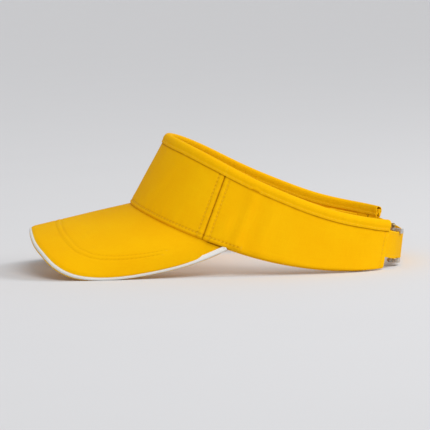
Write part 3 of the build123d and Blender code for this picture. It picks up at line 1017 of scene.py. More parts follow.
@dataclass
class HeadBand:
    """Panels, linings, sweatband, bindings and seams of the band."""

    shape: BandShape
    brim: BrimShape
    wardrobe: Wardrobe
    thread: Thread = field(default_factory=Thread)
    binding_width: float = 7.2
    binding_cloth: float = 0.7
    sweatband_width: float = 30.0
    sweatband_thickness: float = 1.6
    sweatband_drop: float = 0.8
    sweatband_end_angle: float = 64.0
    bottom_row: float = 3.2
    seam_row: float = 4.4
    hem_row: float = 3.6
    left_hem_angle: float = 11.0
    right_hem_angle: float = 14.0
    bartack_behind_brim: float = 9.0
    flex_length: float = 28.0
    folds: tuple = ((23.5, 1.7, 4.4), (39.0, 0.75, 5.5), (56.0, 0.35, 8.0))
    pucker_run: float = 9.0

    def follow(self, piece: Object, body: str) -> Object:
        """Parent a piece to its body; a piece of the left side only has its place baked into its
        mesh.

        Args:
            piece: The piece, in place.
            body: Body that it is parented to, unless it is the left side.

        Returns:
            The same piece.
        """
        if body != LEFT:
            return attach(piece, body)
        runs = np.array([-self.shape.seam + 1.0, -self.shape.seam + self.flex_length])
        start, end = self.shape.place(runs, 0.0, np.full(2, self.shape.strap_height))
        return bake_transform(piece, ROOT, LEFT, start=tuple(start), end=tuple(end))

    def sewn_below(self, far: Array) -> Array:
        """Weight of the bottom stitching at a distance from the middle of the back."""
        return fade((far - self.brim.end_run + self.bartack_behind_brim) / 2)

    def relief(self, run: Array, height: Array) -> Array:
        """How far the outer cloth stands proud of the plain band.

        Args:
            run: Distance along the outline.
            height: Height in the band's own frame.

        Returns:
            Millimetres outwards.
        """
        shape = self.shape
        folded = shape.wrap(run)
        far = np.abs(folded)
        seam = far - shape.seam
        low, high = shape.bottom(folded), shape.top(folded)
        up, down = height - low, high - height
        share = np.clip(up / (high - low), 0, 1)
        seed = np.where(folded < 0, 1.0, 2.3)
        out = 0.28 * ripple(far / 13.0, 1.0) * ripple(height / 17.0 + seed, 2.0)
        out += 0.14 * ripple(far / 5.0 + height / 9.0, 3.0) * fade(down / 12)
        for place, amount, width in self.folds:
            lean = place + (share - 0.5) * 3.0
            out += amount * hump(-seam - lean, width) * (1.1 - 0.6 * share) * fade(up / 4)
        out += 1.2 * hump(-seam - self.pucker_run - 12 * share, 4.5) * hump(share - 0.22, 0.22)
        near_seam = hump(seam, 6.0) * fade(down / 8)
        out += 0.20 * ripple(height / 1.55 + seed, 4.0) * near_seam
        out += 0.30 * hump(np.abs(seam) - 2.0, 1.7)
        out -= 0.75 * hump(seam, 0.6)
        out -= 0.28 * hump(np.abs(seam) - self.seam_row, 0.6)
        stitched = self.sewn_below(far)
        out += 0.22 * ripple(far / 1.7, 5.0) * hump(up - 4.5, 4.0) * stitched
        out += 0.30 * hump(up - 1.2, 1.6) * stitched
        out -= 0.34 * hump(up - self.bottom_row, 0.6) * stitched
        end = shape.past_end(folded)
        out += 0.18 * hump(end - 1.2, 1.8)
        out -= 0.24 * hump(end - self.hem_row, 0.6)
        out += 0.14 * ripple(height / 2.1 + seed, 6.0) * hump(end - self.hem_row, 5.0)
        out += 0.16 * ripple(far / 2.3, 7.0) * hump(down - self.binding_width - 1.0, 3.0)
        return out

    def painted_groove_shade(self, run: Array, height: Array) -> Array:
        """Share of painted shade in the seams, the needle holes and under the binding's lower edge.

        Args:
            run: Distance along the outline.
            height: Height in the band's own frame.

        Returns:
            Values from 0 to 1.
        """
        shape = self.shape
        folded = shape.wrap(run)
        far = np.abs(folded)
        seam = far - shape.seam
        up, down = height - shape.bottom(folded), shape.top(folded) - height
        end, stitched = shape.past_end(folded), self.sewn_below(far)
        pitch = 2 * pi / self.thread.pitch
        upright = 0.55 + 0.45 * np.sin(pitch * height)
        level = 0.55 + 0.45 * np.sin(pitch * far)
        # painted shade in the seams and, dotted at the stitch pitch, in the needle holes
        shade = 0.7 * hump(seam, 0.45) + 0.15 * hump(seam, 1.4)
        shade += 0.75 * hump(np.abs(seam) - self.seam_row, 0.55) * upright
        shade += 0.85 * hump(up - self.bottom_row, 0.55) * level * stitched
        shade += 0.45 * hump(end - self.hem_row, 0.55) * upright
        # painted shade under the binding's lower edge
        shade += 0.9 * hump(down - self.binding_width + 0.1, 0.8)
        return np.clip(shade, 0, 1)

    def sheet(
        self,
        name: str,
        runs: tuple[float, float],
        inset: float,
        thickness: float,
        edges: tuple[Callable[[Array], Array], Callable[[Array], Array]],
        pitch: float,
        lift: Callable[[Array, Array], Array] | None = None,
        rounding: float = 0.25,
    ) -> Object:
        """Make one ply of the band.

        Args:
            name: Name of the piece.
            runs: Where it starts and ends along the outline.
            inset: Depth of its outer face inside the outer cloth.
            thickness: Its thickness.
            edges: Heights of its lower and upper edges at a run.
            pitch: Size of a face in millimetres.
            lift: How far it stands proud at a run and a height.
            rounding: Radius of its rim.

        Returns:
            The ply.
        """
        lower, upper = edges

        def place(u: Array, v: Array) -> Array:
            """Points of the ply."""
            run = runs[0] + u * (runs[1] - runs[0])
            low, high = lower(run), upper(run)
            height = low + v * (high - low)
            proud = lift(run, height) if lift else 0.0
            return self.shape.place(run, inset - proud, height)

        length = runs[1] - runs[0]
        middle = np.linspace(*runs, 50)
        tall = upper(middle) - lower(middle)
        rows = max(3, round(float(tall.mean()) / pitch))
        obj = cloth_grid(name, round(length / pitch), rows, place, (length, float(tall.mean())))
        thicken(obj, thickness, rounding)
        lean = cos(radians(self.shape.taper))
        return declare(obj, float(tall.max()) / lean, length)

    def turned_panel(self, name: str, runs: tuple[float, float], pitch: float = 0.62) -> Object:
        """Outer cloth of one panel, with its lower edge turned in under the core.

        Args:
            name: Name of the piece.
            runs: Where it starts and ends along the outline.
            pitch: Size of a face in millimetres.

        Returns:
            The panel.
        """
        shape = self.shape
        turn = SmoothLine(
            [(3.1, 1.3), (2.7, 0.45), (1.7, 0.02), (0.65, 0.22), (0.12, 1.1), (0.0, 2.4)]
        )
        middle = np.linspace(*runs, 50)
        tall = float((shape.top(middle) - shape.bottom(middle)).mean()) - 2.0
        total = turn.length + tall - 2.4

        def drawn(u: Array, v: Array) -> tuple[Array, Array, Array]:
            """Run, depth and height of the cloth before its relief."""
            run = runs[0] + u * (runs[1] - runs[0])
            low, high = shape.bottom(run), shape.top(run) - 2.0
            along = v * total
            turned = turn.at(np.clip(along / turn.length, 0, 1))
            climb = np.clip((along - turn.length) / (total - turn.length), 0, 1)
            return run, turned[:, 0], low + turned[:, 1] + climb * (high - low - 2.4)

        def place(u: Array, v: Array) -> Array:
            """Points of the panel."""
            run, inset, height = drawn(u, v)
            proud = self.relief(run, height) * fade((height - shape.bottom(run)) / 2.2)
            return shape.place(run, inset - proud, height)

        def shade(u: Array, v: Array) -> Array:
            """Painted groove shade of the panel."""
            run, _, height = drawn(u, v)
            return self.painted_groove_shade(run, height)

        length = runs[1] - runs[0]
        columns, rows = round(length / pitch), round(total / pitch)
        obj = cloth_grid(name, columns, rows, place, (length, total), shade)
        thicken(obj, shape.cloth, 0.2)
        wide = float((shape.top(middle) - shape.bottom(middle)).max()) + turn.length
        return declare(obj, wide, length * 1.05)

    def panels(self) -> list[Object]:
        """Make the front and both side panels with their cores."""
        shape, made = self.shape, []
        ends = (shape.end(Side.RIGHT), shape.end(Side.LEFT))
        for label, runs, body in shape.spans(0.0, *ends):
            node = "front_panel" if label == "front" else f"{label}_side_panel"
            piece = self.turned_panel(f"{label}_panel_cloth", (runs[0] + 0.06, runs[1] - 0.06))
            self.wardrobe.dress(piece, "yellow_twill")
            made.append(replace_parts(self.follow(piece, body), node))
            made.append(self.core(label, body))
        return made

    def core(self, label: str, body: str) -> Object:
        """Make the stiff or soft core cloth behind one panel."""
        shape = self.shape
        spans = shape.spans(1.2, shape.run(63.0), shape.run(71.0))
        runs = next(runs for name, runs, _ in spans if name == label)
        piece = self.sheet(
            f"{label}_core_cloth",
            runs,
            shape.cloth + 0.12,
            shape.pocket - 0.2,
            (shape.over_bottom(1.8), shape.under_top(1.9)),
            2.2,
            lambda run, height: 0.8 * self.relief(run, height),
        )
        self.wardrobe.dress(piece, "white_buckram")
        node = "front_buckram" if label == "front" else f"{label}_interlining"
        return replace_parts(self.follow(piece, body), node)

    def crease(self, run: Array, height: Array) -> Array:
        """Lengthwise wrinkles of the inner cloths, always towards the head."""
        wave = ripple(height / 2.6 + 0.8 * ripple(run / 24.0, 1.0), 2.0)
        drift = ripple(run / 31.0, 3.0) * ripple(run / 9.0 + height / 6.0, 4.0)
        return -0.22 * (1 + wave) * (0.8 + 0.5 * drift) - 0.02

    def slack(self, run: Array, height: Array) -> Array:
        """Slight wrinkles of a lining."""
        return 0.25 * self.crease(run, height)

    def closed_end(self, run: Array, height: Array) -> Array:
        """How far an end hem reaches out to meet the panel, except where the strap comes out."""
        shape = self.shape
        beside_strap = fade((np.abs(height - shape.strap_height) - 10.0) / 2.5)
        near_end = 1 - fade(shape.past_end(run) / 4.0)
        return (shape.lining_inset - shape.cloth - 0.1) * near_end * beside_strap

    def linings(self) -> list[Object]:
        """Make the linings, the end hems, the seam tapes and the joining tape."""
        shape, made = self.shape, []
        left_hem = shape.run(shape.left_end_angle + self.left_hem_angle)
        right_hem = shape.run(shape.right_end_angle + self.right_hem_angle)
        lengths = shape.spans(0.3, right_hem + 1.1, left_hem + 0.5)
        front, right, left = (runs for _, runs, _ in lengths)
        right_end, left_end = shape.end(Side.RIGHT) + 0.05, shape.end(Side.LEFT) + 0.05
        side_edges = (shape.over_bottom(1.4), shape.under_top(2.0))
        plies = {
            "front_lining": (front, (shape.over_bottom(9.2), shape.under_top(2.0)), ROOT),
            "right_lining": (right, side_edges, ROOT),
            "left_lining": (left, side_edges, LEFT),
            "right_end_hem": ((right_end, right_hem), side_edges, ROOT),
            "left_end_hem": ((-left_hem, -left_end), side_edges, LEFT),
            "brim_joining_tape": (front, (shape.over_bottom(-2.4), shape.over_bottom(9.0)), ROOT),
        }
        for node, (runs, edges, body) in plies.items():
            hem = "hem" in node
            lift, pitch = (self.closed_end, 0.8) if hem else (self.slack, 1.5)
            name = f"{node}_cloth"
            piece = self.sheet(name, runs, shape.lining_inset, 0.75, edges, pitch, lift, 0.2)
            self.wardrobe.dress(piece, "yellow_twill" if "tape" in node else "yellow_lining")
            made.append(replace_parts(self.follow(piece, body), node))
        return made

    def seam_tapes(self) -> list[Object]:
        """Make the tapes that cover the side seams on the inside, above the sweatband."""
        shape, made = self.shape, []
        near, far = shape.seam + 0.2, shape.run(shape.seam_angle + 6.0)
        low = shape.over_bottom(self.sweatband_width + 0.7)
        high = shape.under_top(self.binding_width + 0.7)
        inset = shape.inner_inset + 0.1
        for side in Side:
            runs = (near, far) if side is Side.RIGHT else (-far, -near)
            name = f"{side.label}_seam_tape_cloth"
            piece = self.sheet(name, runs, inset, 0.6, (low, high), 0.8, None, 0.15)
            self.wardrobe.dress(piece, "yellow_twill")
            made.append(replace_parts(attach(piece, ROOT), f"{side.label}_seam_tape"))
        return made

    def sweatbands(self) -> list[Object]:
        """Make the padded sweatband in its three lengths."""
        shape, made = self.shape, []
        stop = shape.run(self.sweatband_end_angle)
        for label, runs, body in shape.spans(0.1, stop, stop):
            node = f"{label}_sweatband"

            def place(u: Array, v: Array, runs: tuple[float, float] = runs) -> Array:
                """Points of the sweatband's outer face."""
                run = runs[0] + u * (runs[1] - runs[0])
                low = shape.bottom(run) - self.sweatband_drop
                limit = shape.top(run) - self.binding_width - 0.9
                high = np.minimum(shape.bottom(run) + self.sweatband_width, limit)
                height = low + v * (high - low)
                rows = hump((high - height) - 3.0, 0.7) + hump(height - low - 4.0, 0.7)
                edges = fade(np.minimum(height - low, high - height) / 2.5)
                depth = -self.crease(run, height) * (0.25 + 0.75 * edges)
                return shape.place(run, shape.inner_inset + depth - 0.30 * rows * edges, height)

            length = runs[1] - runs[0]
            size = (length, self.sweatband_width)
            piece = cloth_grid(f"{node}_pad", round(length / 1.1), 30, place, size)
            thicken(piece, self.sweatband_thickness, 0.7, 3)
            self.wardrobe.dress(piece, "yellow_sweatband")
            made.append(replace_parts(self.follow(piece, body), node))
        return made

    def binding_point(self, run: Array, across: Array) -> Array:
        """Points of the tape over the top edge.

        Args:
            run: Distance along the outline.
            across: From 0 at the outer lower edge to 1 at the inner lower edge.

        Returns:
            Points in metres.
        """
        shape = self.shape
        width, inner = self.binding_width, shape.inner_inset
        out = self.binding_cloth + shape.gap
        profile = SmoothLine(
            [
                (-0.45, width), (-0.72, width - 0.7), (-0.62, width - 1.6), (-1.0, width - 3.4),
                (-out - 0.2, 2.2), (-0.35, 0.75), (inner / 2, 0.0), (inner + 0.35, 0.75),
                (inner + out + 0.1, 2.2), (inner + out, width - 3.0), (inner + 0.55, width - 1.6),
                (inner + 0.7, width - 0.7), (inner + 0.45, width),
            ]
        )
        drawn = profile.at(across)
        top = shape.top(run)
        pucker = 0.16 * ripple(run / 1.9, 8.0) * np.where(across < 0.5, 1.0, -1.0)
        weight = hump(drawn[:, 1] - width + 2.5, 2.2)
        sway = 0.12 * ripple(run / 8.0, 9.0)
        inset = drawn[:, 0] - pucker * weight
        height = top - drawn[:, 1] + sway * fade(drawn[:, 1] / 4)
        return shape.place(run, inset, height)

    def bindings(self) -> list[Object]:
        """Make the tape folded over the top edge, in its three lengths."""
        shape, made = self.shape, []
        wide = 2 * self.binding_width + shape.inner_inset
        for label, runs, body in shape.spans(0.03, shape.end(Side.RIGHT), shape.end(Side.LEFT)):
            node, length = f"{label}_binding", runs[1] - runs[0]

            def place(u: Array, v: Array, runs: tuple[float, float] = runs) -> Array:
                """Points of the tape's outer face."""
                return self.binding_point(runs[0] + u * (runs[1] - runs[0]), v)

            piece = cloth_grid(f"{node}_tape", round(length / 0.85), 26, place, (length, wide))
            thicken(piece, self.binding_cloth * 0.8, 0.15)
            declare(piece, 1.15 * wide, 1.1 * length)
            self.wardrobe.dress(piece, "yellow_twill")
            made.append(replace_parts(self.follow(piece, body), node))
        return made

    def band_row(self, name: str, runs: tuple[float, float], height: Callable, body: str) -> Object:
        """Lay a stitch row on the outer cloth.

        Args:
            name: Name of the piece.
            runs: Where the row starts and ends along the outline.
            height: Height of the row at a run, or at a share for an upright row.
            body: Body that it is parented to, unless it is the left side.

        Returns:
            The row.
        """
        shape = self.shape

        def surface(run: Array, tall: Array) -> Array:
            """Points of the outer cloth."""
            return shape.place(run, -self.relief(run, tall) - 0.02, tall)

        def path(share: Array) -> tuple[Array, Array]:
            """Points and normals along the row."""
            run = runs[0] + share * (runs[1] - runs[0])
            tall = height(run, share)
            return surface(run, tall), normals_of(surface, run, tall)

        piece = self.thread.row(name, path, path_length(path, 60))
        self.wardrobe.dress(piece, "yellow_twill", "yellow_thread")
        return self.follow(piece, body)

    def stitching(self) -> list[Object]:
        """Lay the stitch rows that show on the outside and the inside of the band."""
        shape, made = self.shape, []

        def upright(low: float, high: float) -> Callable[[Array, Array], Array]:
            """Heights of an upright row between two clearances from the edges."""
            return lambda run, share: (
                shape.bottom(run) + low + share * (shape.top(run) - high - shape.bottom(run) - low)
            )

        def bottom(run: Array, share: Array) -> Array:
            """Heights of the row along the lower edge."""
            return shape.bottom(run) + self.bottom_row

        tack = self.brim.end_run - self.bartack_behind_brim
        front = (shape.seam + 0.5, 2 * shape.half_round - shape.seam - 0.5)
        made.append(self.band_row("front_bottom_stitching", front, bottom, ROOT))
        for side in Side:
            sign, body = side.value, side.body
            to_binding = upright(1.0, self.binding_width + 0.4)
            rows = {
                "bottom_stitching": ((sign * tack, sign * (shape.seam - 0.5)), bottom, body),
                "seam_stitching": ((sign * (shape.seam - self.seam_row),) * 2, to_binding, body),
                "front_seam_stitching": (
                    (sign * (shape.seam + self.seam_row),) * 2,
                    to_binding,
                    ROOT,
                ),
                "end_stitching": (
                    (sign * (shape.end(side) + self.hem_row),) * 2,
                    upright(1.4, self.binding_width + 0.4),
                    body,
                ),
                "end_bartack": (
                    (sign * tack, sign * (tack + 0.01)),
                    lambda run, share: shape.bottom(run) + 1.6 + 3.4 * share,
                    body,
                ),
            }
            for label, (runs, height, rides) in rows.items():
                made.append(self.band_row(f"{side.label}_{label}", runs, height, rides))
        ends = (shape.end(Side.RIGHT) + 0.8, shape.end(Side.LEFT) + 0.8)
        for label, runs, body in shape.spans(0.4, *ends):
            for where, across in (("outer", 0.082), ("inner", 0.918)):
                name = f"{label}_binding_{where}_stitching"
                made.append(self.binding_row(name, runs, across, body))
        return made

    def binding_row(self, name: str, runs: tuple[float, float], across: float, body: str) -> Object:
        """Lay a stitch row on the binding, at a share across its width."""

        def path(share: Array) -> tuple[Array, Array]:
            """Points and normals along the row."""
            run = runs[0] + share * (runs[1] - runs[0])
            level = np.full_like(run, across)
            return self.binding_point(run, level), normals_of(self.binding_point, run, level)

        piece = self.thread.row(name, path, runs[1] - runs[0])
        self.wardrobe.dress(piece, "yellow_twill", "yellow_thread")
        return self.follow(piece, body)

    def build(self) -> list[Object]:
        """Make every piece of the band."""
        made = self.panels() + self.linings() + self.seam_tapes()
        return made + self.sweatbands() + self.bindings() + self.stitching()


# ---- The brim ----


@dataclass
class Brim:
    """Covers, board, contrast trim and topstitching of the brim."""

    shape: BrimShape
    wardrobe: Wardrobe
    thread: Thread = field(default_factory=lambda: Thread(3.0, 2.3, 0.2))
    cover: float = 0.9
    board: float = 1.8
    trim_out: float = 0.6
    trim_seam: float = 1.6
    columns: int = 260
    rows: int = 80
    last_stitch: float = 0.72
    rows_inside: tuple = (17.5, 21.5)

    def dimple(self, along: Array, out: Array) -> Array:
        """How far stitching and cloth tension move a cover, in millimetres."""
        inside = (1 - out) * self.shape.ray(along)
        rows = sum(-0.26 * hump(inside - row, 0.7) for row in self.rows_inside)
        between = 0.12 * hump(inside - sum(self.rows_inside) / 2, 1.5)
        soft = 0.22 * ripple(along * 9.0, 1.0) * ripple(out * 7.0, 2.0)
        pucker = 0.08 * ripple(along * 70.0, 3.0) * hump(inside - self.rows_inside[0], 5.0)
        stitched = fade((self.last_stitch - np.abs(along)) * 30)
        return ((rows + between + pucker) * stitched + soft) * fade((1 - out) * 20)

    def painted_groove_shade(self, along: Array, out: Array) -> Array:
        """Share of painted shade in the needle holes of both topstitch rows and along the band,
        from 0 to 1.
        """
        inside = (1 - out) * self.shape.ray(along)
        share = np.abs(along)
        # painted shade in the needle holes, dotted at the stitch pitch
        holes = 0.6 + 0.4 * np.sin(share * self.shape.edge.length * 2 * pi / self.thread.pitch)
        rows = sum(0.38 * hump(inside - row, 0.5) * holes for row in self.rows_inside)
        # painted shade where the brim meets the band, under the panel's lower edge
        near_band = 0.55 * hump(out * self.shape.ray(along), 1.6)
        return rows * fade((self.last_stitch - share) * 30) + near_band

    def cover_cloth(self, name: str, lift: float, grow: float, roll: float, flip: bool) -> Object:
        """Make a cover whose edge rolls towards the trim.

        Args:
            name: Name of the piece.
            lift: Height of its showing face over the arch.
            grow: How far its edge stands out.
            roll: How far the edge rolls towards the trim.
            flip: True for the under cover, which shows its lower face.

        Returns:
            The cover.
        """
        way = -1.0 if flip else 1.0

        def place(u: Array, v: Array) -> Array:
            """Points of the cover's showing face."""
            along = way * (2 * u - 1)
            drop = roll * fade((v - 0.965) / 0.035) ** 1.5
            proud = self.dimple(along, v)
            return self.shape.place(along, v, lift + way * proud - way * drop, grow)

        def shade(u: Array, v: Array) -> Array:
            """Painted groove shade of the cover."""
            return self.painted_groove_shade(2 * u - 1, v)

        edge, root = 2 * self.shape.edge.length, 2 * self.shape.root.length
        reach = float(self.shape.edge.at(np.array([0.0]))[0, 0])
        size = ((edge + root) / 2, reach)
        obj = cloth_grid(name, self.columns, self.rows, place, size, shade)
        thicken(obj, self.cover, 0.3, even=False)
        return declare(obj, 1.9 * reach, edge)

    def stiffener(self) -> Object:
        """Make the moulded board between the covers."""

        def place(u: Array, v: Array) -> Array:
            """Points of the board's upper face."""
            lift = np.full_like(u, -self.cover - 0.3)
            return self.shape.place(2 * u - 1, v, lift, -self.trim_seam)

        obj = cloth_grid("brim_board_moulding", 160, 40, place, (400.0, 70.0))
        apply_modifier(obj, "SOLIDIFY", thickness=(self.board - 0.4) * MM, offset=-1.0)
        smooth(obj)
        return obj

    def trim(self) -> Object:
        """Make the folded white tape sewn in between the two covers."""
        middle = -self.cover - self.board / 2 - 0.05
        profile = SmoothLine(
            [
                (-3.2, 0.62), (-2.3, 0.86), (-1.2, 1.22), (-0.2, 1.05), (0.3, 0.45),
                (0.42, -0.3), (0.2, -0.9), (-0.8, -1.0), (-2.6, -0.85),
            ]
        )

        def place(u: Array, v: Array) -> Array:
            """Points of the tape's outer face."""
            along = 1 - 2 * u
            drawn = profile.at(1 - v)
            wave = 0.05 * ripple(along * 120.0, 4.0)
            side, share = np.where(along < 0, -1.0, 1.0), np.abs(along)
            reach = (drawn[:, 0] + wave)[:, None]
            flat = self.shape.edge.at(share) + self.shape.outwards(share, 0.005) * reach
            return self.shape.arch(flat[:, 0], side * flat[:, 1], middle + drawn[:, 1])

        length = 2 * self.shape.edge.length
        obj = cloth_grid("brim_edge_trim", 300, 16, place, (length, profile.length))
        thicken(obj, 0.35, 0.1, even=False)
        return declare(obj, profile.length, length)

    def stitch_row(self, name: str, row: float, lift: float, way: float) -> Object:
        """Lay one topstitch row, alongside the edge.

        Args:
            name: Name of the piece.
            row: How far inside the edge the row lies.
            lift: Height of the stitched face over the arch.
            way: 1 on the top cover, -1 underneath.

        Returns:
            The row.
        """

        def surface(along: Array, out: Array) -> Array:
            """Points of the stitched face."""
            return self.shape.place(along, out, lift + way * (self.dimple(along, out) + 0.04))

        def path(at: Array) -> tuple[Array, Array]:
            """Points and normals along the row."""
            along = self.last_stitch * (1 - 2 * at)
            out = 1 - row / self.shape.ray(along)
            return surface(along, out), -way * normals_of(surface, along, out)

        piece = self.thread.row(name, path, path_length(path, 200))
        self.wardrobe.dress(piece, "yellow_twill", "yellow_thread")
        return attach(piece, ROOT)

    def build(self) -> list[Object]:
        """Make every piece of the brim."""
        below = -2 * self.cover - self.board - 0.1
        top = self.cover_cloth("brim_top_cloth", 0.0, -1.5, 0.5, False)
        under = self.cover_cloth("brim_under_cloth", below, self.trim_out + 0.1, 0.35, True)
        trim, board = self.trim(), self.stiffener()
        for piece, node, slot in (
            (top, "brim_top_cover", "yellow_twill"),
            (under, "brim_under_cover", "yellow_twill"),
            (trim, "brim_contrast_trim", "white_trim"),
            (board, "brim_board", "board_plastic"),
        ):
            self.wardrobe.dress(piece, slot)
            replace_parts(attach(piece, ROOT), node)
        made = [top, under, trim, board]
        for number, row in enumerate(self.rows_inside, 1):
            made.append(self.stitch_row(f"brim_top_stitching_{number}", row, 0.0, 1.0))
            made.append(self.stitch_row(f"brim_under_stitching_{number}", row, below, -1.0))
        return made


# ---- Strap and buckle ----


@dataclass
class Closure:
    """The adjusting strap, the buckle's tab and the metal buckle."""

    shape: BandShape
    wardrobe: Wardrobe
    nodes: dict
    thread: Thread = field(default_factory=lambda: Thread(2.4, 1.9, 0.2))
    strap_width: float = 18.4
    strap_cloth: float = 0.9
    strap_inset: float = 1.2
    row_inside: float = 2.2
    strap_sewn_angle: float = 62.0
    strap_tail_angle: float = 70.0
    tab_width: float = 14.0
    tab_cloth: float = 0.7
    buckle_angle: float = 17.0
    buckle_length: float = 13.0
    bar: float = 2.4
    plate: float = 1.2

    def strap_point(self, run: Array, across: Array) -> Array:
        """Points of the strap's outer face, for a run and a share up its width."""
        half = self.strap_width * cos(radians(self.shape.taper)) / 2
        height = self.shape.strap_height + (2 * across - 1) * half
        inside = np.minimum(across, 1 - across) * self.strap_width
        wave = 0.04 * ripple(run / 6.0, 1.0) + 0.02 * ripple(run / 2.2, 2.0)
        rows = 0.12 * hump(inside - self.row_inside, 0.6)
        rim = 0.048 * hump(inside, 1.2) - 0.10 * hump(inside - 1.1, 0.8)
        return self.shape.place(run, self.strap_inset - 0.1 + rows + rim + wave, height)

    def strap(self) -> Object:
        """Make the strap."""
        start = -self.shape.run(self.strap_tail_angle)
        stop = self.shape.run(self.strap_sewn_angle)

        def place(u: Array, v: Array) -> Array:
            """Points of the strap's outer face."""
            return self.strap_point(start + u * (stop - start), v)

        length = stop - start
        size = (length, self.strap_width)
        obj = cloth_grid("adjuster_strap_cloth", round(length / 0.9), 24, place, size)
        thicken(obj, self.strap_cloth * 0.9, 0.25)
        declare(obj, self.strap_width, length)
        self.wardrobe.dress(obj, "yellow_twill")
        return self.cross_back(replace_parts(obj, "adjuster_strap"))

    def cross_back(self, obj: Object) -> Object:
        """Bake a piece's place into its mesh, where it crosses the back from the right side to the
        left.
        """
        runs = np.array([self.shape.end(Side.RIGHT), -self.shape.run(20.0)])
        right, left = self.shape.place(runs, 0.0, np.full(2, self.shape.strap_height))
        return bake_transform(obj, ROOT, LEFT, start=tuple(right), end=tuple(left))

    def strap_rows(self) -> list[Object]:
        """Lay the stitch rows along both edges of the strap."""
        start, stop = -self.shape.run(46.0), self.shape.run(46.0)
        made = []
        share_in = self.row_inside / self.strap_width
        for name, across in (("upper", 1 - share_in), ("lower", share_in)):

            def path(share: Array, across: float = across) -> tuple[Array, Array]:
                """Points and normals along the row."""
                run = start + share * (stop - start)
                level = np.full_like(run, across)
                return self.strap_point(run, level), normals_of(self.strap_point, run, level)

            row = self.thread.row(f"strap_{name}_stitching", path, stop - start)
            self.wardrobe.dress(row, "yellow_twill", "yellow_thread")
            made.append(self.cross_back(row))
        return made

    def tab(self) -> Object:
        """Make the tab sewn inside the left end and looped round the buckle's near bar."""
        shape = self.shape
        depth = shape.inner_inset + self.tab_cloth + 2 * shape.gap + 0.1
        bar_run = -shape.run(self.buckle_angle) - self.buckle_length / 2 + self.bar / 2
        inner = shape.inner_inset + 0.05
        half = self.bar / 2 + 0.9
        below = depth + self.plate + 0.15
        loop = SmoothLine(
            [
                (-shape.run(60.0), inner),
                (-shape.run(40.0), inner),
                (-shape.run(25.0), inner),
                (bar_run - half, inner + 0.1),
                (bar_run, inner + 0.02),
                (bar_run + half - 0.3, inner + 0.3),
                (bar_run + half, (inner + below) / 2 + 0.3),
                (bar_run + half - 0.35, below + 0.35),
                (bar_run, below + 0.62),
                (bar_run - half, below + 0.45),
                (bar_run - half - 1.8, inner + 1.15),
            ]
        )
        width = self.tab_width * cos(radians(shape.taper))

        def place(u: Array, v: Array) -> Array:
            """Points of the tab's outer face."""
            drawn = loop.at(u)
            height = shape.strap_height + (v - 0.5) * width
            return shape.place(drawn[:, 0], drawn[:, 1], height)

        obj = cloth_grid("buckle_tab_cloth", 130, 16, place, (loop.length, self.tab_width))
        thicken(obj, self.tab_cloth * 0.85, 0.15)
        declare(obj, self.tab_width, loop.length)
        self.wardrobe.dress(obj, "yellow_twill")
        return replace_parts(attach(obj, LEFT), "buckle_tab")

    def hardware(self) -> None:
        """Dress the buckle's frame, lever and pin."""
        for node, slot in (
            ("buckle_frame", "buckle_metal"),
            ("buckle_lever", "buckle_metal"),
            ("buckle_pin", "pin_brass"),
        ):
            self.wardrobe.dress(self.nodes[node], slot)

    def build(self) -> list[Object]:
        """Make the strap and the tab, and dress the buckle."""
        self.hardware()
        return [self.strap(), self.tab(), *self.strap_rows()]


# ---- The studio ----


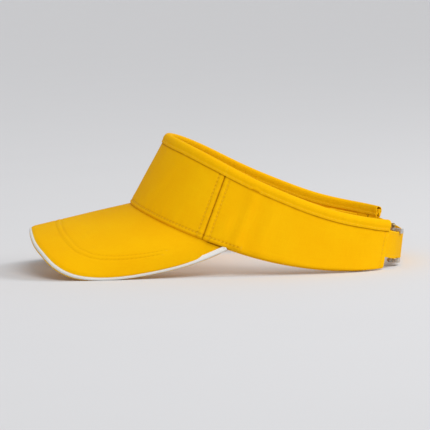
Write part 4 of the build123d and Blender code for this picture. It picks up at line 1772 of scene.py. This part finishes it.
@dataclass
class Studio:
    """Pale sweep, soft lights and the camera."""

    aim: tuple[float, float, float] = (-33.3, 0.0, 21.4)
    azimuth: float = -2.89
    elevation: float = 5.43
    roll: float = -1.5
    distance: float = 2194.0
    lens: float = 266.4
    floor: tuple[float, float, float] = (0.72, 0.72, 0.733)
    sky_power: float = 0.53
    key_power: float = 1.35
    key_from: tuple[float, float, float] = (0.2, -0.7, 0.68)
    side_power: float = 14.0
    side_from: tuple[float, float, float] = (1.5, -0.35, 1.3)

    def sweep(self) -> Object:
        """Make the floor and backdrop in one curved sheet."""
        bpy.ops.object.select_all(action="DESELECT")
        bpy.ops.mesh.primitive_plane_add(size=24.0, location=(0, 4.0, 0))
        sweep = bpy.context.active_object
        sweep.name = "studio_sweep"
        bpy.ops.object.mode_set(mode="EDIT")
        bpy.ops.mesh.select_all(action="DESELECT")
        bpy.ops.object.mode_set(mode="OBJECT")
        for edge in sweep.data.edges:
            edge.select = all(sweep.data.vertices[i].co.y > 0 for i in edge.vertices)
        bpy.ops.object.mode_set(mode="EDIT")
        bpy.ops.mesh.select_mode(type="EDGE")
        bpy.ops.mesh.extrude_region_move(TRANSFORM_OT_translate={"value": (0, 0, 5.0)})
        bpy.ops.object.mode_set(mode="OBJECT")
        apply_modifier(sweep, "BEVEL", width=1.6, segments=24, limit_method="ANGLE")
        bpy.ops.object.shade_smooth()
        material, wire, shader = new_material("studio_paper")
        noise = wire.noise(wire.add("TexCoord").outputs["Object"], 9.0, 2.0)
        dim = tuple(0.985 * c for c in self.floor)
        found = {
            "Base Color": wire.mix(noise, self.floor, dim),
            "Roughness": 0.9,
            "Specular IOR Level": 0.1,
        }
        wire.feed(shader, found)
        sweep.data.materials.append(material)
        return sweep

    def sun(self) -> None:
        """Add the broad soft key light, from the front and the visor's back end."""
        light = bpy.data.lights.new("soft_key", "SUN")
        light.energy, light.angle, light.color = self.key_power, radians(32), (1.0, 0.99, 0.975)
        lamp = bpy.data.objects.new("soft_key", light)
        lamp.rotation_euler = Vector(self.key_from).to_track_quat("Z", "Y").to_euler()
        bpy.context.scene.collection.objects.link(lamp)

    def side_light(self) -> None:
        """Add the square light that brightens one side of the set."""
        light = bpy.data.lights.new("side_light", "AREA")
        light.shape, light.size, light.energy = "SQUARE", 0.9, self.side_power
        lamp = bpy.data.objects.new("side_light", light)
        lamp.location = self.side_from
        lamp.rotation_euler = Vector(self.side_from).to_track_quat("Z", "Y").to_euler()
        bpy.context.scene.collection.objects.link(lamp)

    def lights(self) -> None:
        """Add the ambient light and the lamps."""
        world = bpy.data.worlds.new("studio")
        world.use_nodes = True
        sky = world.node_tree.nodes["Background"]
        sky.inputs[0].default_value = (0.97, 0.98, 1.0, 1)
        sky.inputs[1].default_value = self.sky_power
        bpy.context.scene.world = world
        self.sun()
        self.side_light()

    def camera(self, origin: Vector) -> Object:
        """Add the camera.

        Args:
            origin: Where the band's own origin stands.

        Returns:
            The camera.
        """
        data = bpy.data.cameras.new("camera")
        data.lens, data.sensor_width = self.lens, 36.0
        data.clip_start, data.clip_end = 0.05, 30.0
        camera = bpy.data.objects.new("camera", data)
        turn, rise = radians(self.azimuth), radians(self.elevation)
        back = Vector((sin(turn) * cos(rise), -cos(turn) * cos(rise), sin(rise)))
        right = (-back).cross(Vector((0, 0, 1))).normalized()
        up = right.cross(-back)
        lean = radians(self.roll)
        right, up = cos(lean) * right + sin(lean) * up, cos(lean) * up - sin(lean) * right
        place = Vector(self.aim) * MM + origin + back * self.distance * MM
        basis = Matrix((right, up, back)).transposed().to_4x4()
        camera.matrix_world = Matrix.Translation(place) @ basis
        bpy.context.scene.collection.objects.link(camera)
        bpy.context.scene.camera = camera
        return camera

    def build(self, origin: Vector) -> None:
        """Make the whole set."""
        self.sweep()
        self.lights()
        self.camera(origin)
        bpy.context.scene.view_settings.view_transform = "Standard"


def band_origin(joints: Sequence[dict]) -> Vector:
    """Where the band's own origin stands, from the seam hinge of the left side."""
    plain = BandShape()
    joint = next(j for j in joints if j["name"] == "left_side_flex")
    foot = plain.own(np.array([-plain.seam]), plain.inner_inset / 2, np.array([0.0]))
    return Vector(joint["pos_m"]) - Vector(plain.stand(foot)[0])


def main() -> None:
    """Build the visor and its set."""
    logging.basicConfig(level=logging.INFO, format="%(message)s")
    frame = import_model()
    origin = band_origin(frame["joints"])
    band_shape = BandShape(origin=origin)
    brim_shape = BrimShape(band_shape)
    wardrobe = Wardrobe()
    builders = (
        HeadBand(band_shape, brim_shape, wardrobe),
        Brim(brim_shape, wardrobe),
        Closure(band_shape, wardrobe, frame["nodes"]),
    )
    for builder in builders:
        for piece in builder.build():
            log.info("%s: %d faces", piece.name, len(piece.data.polygons))
    Studio().build(origin)


if __name__ == "__main__":
    main()
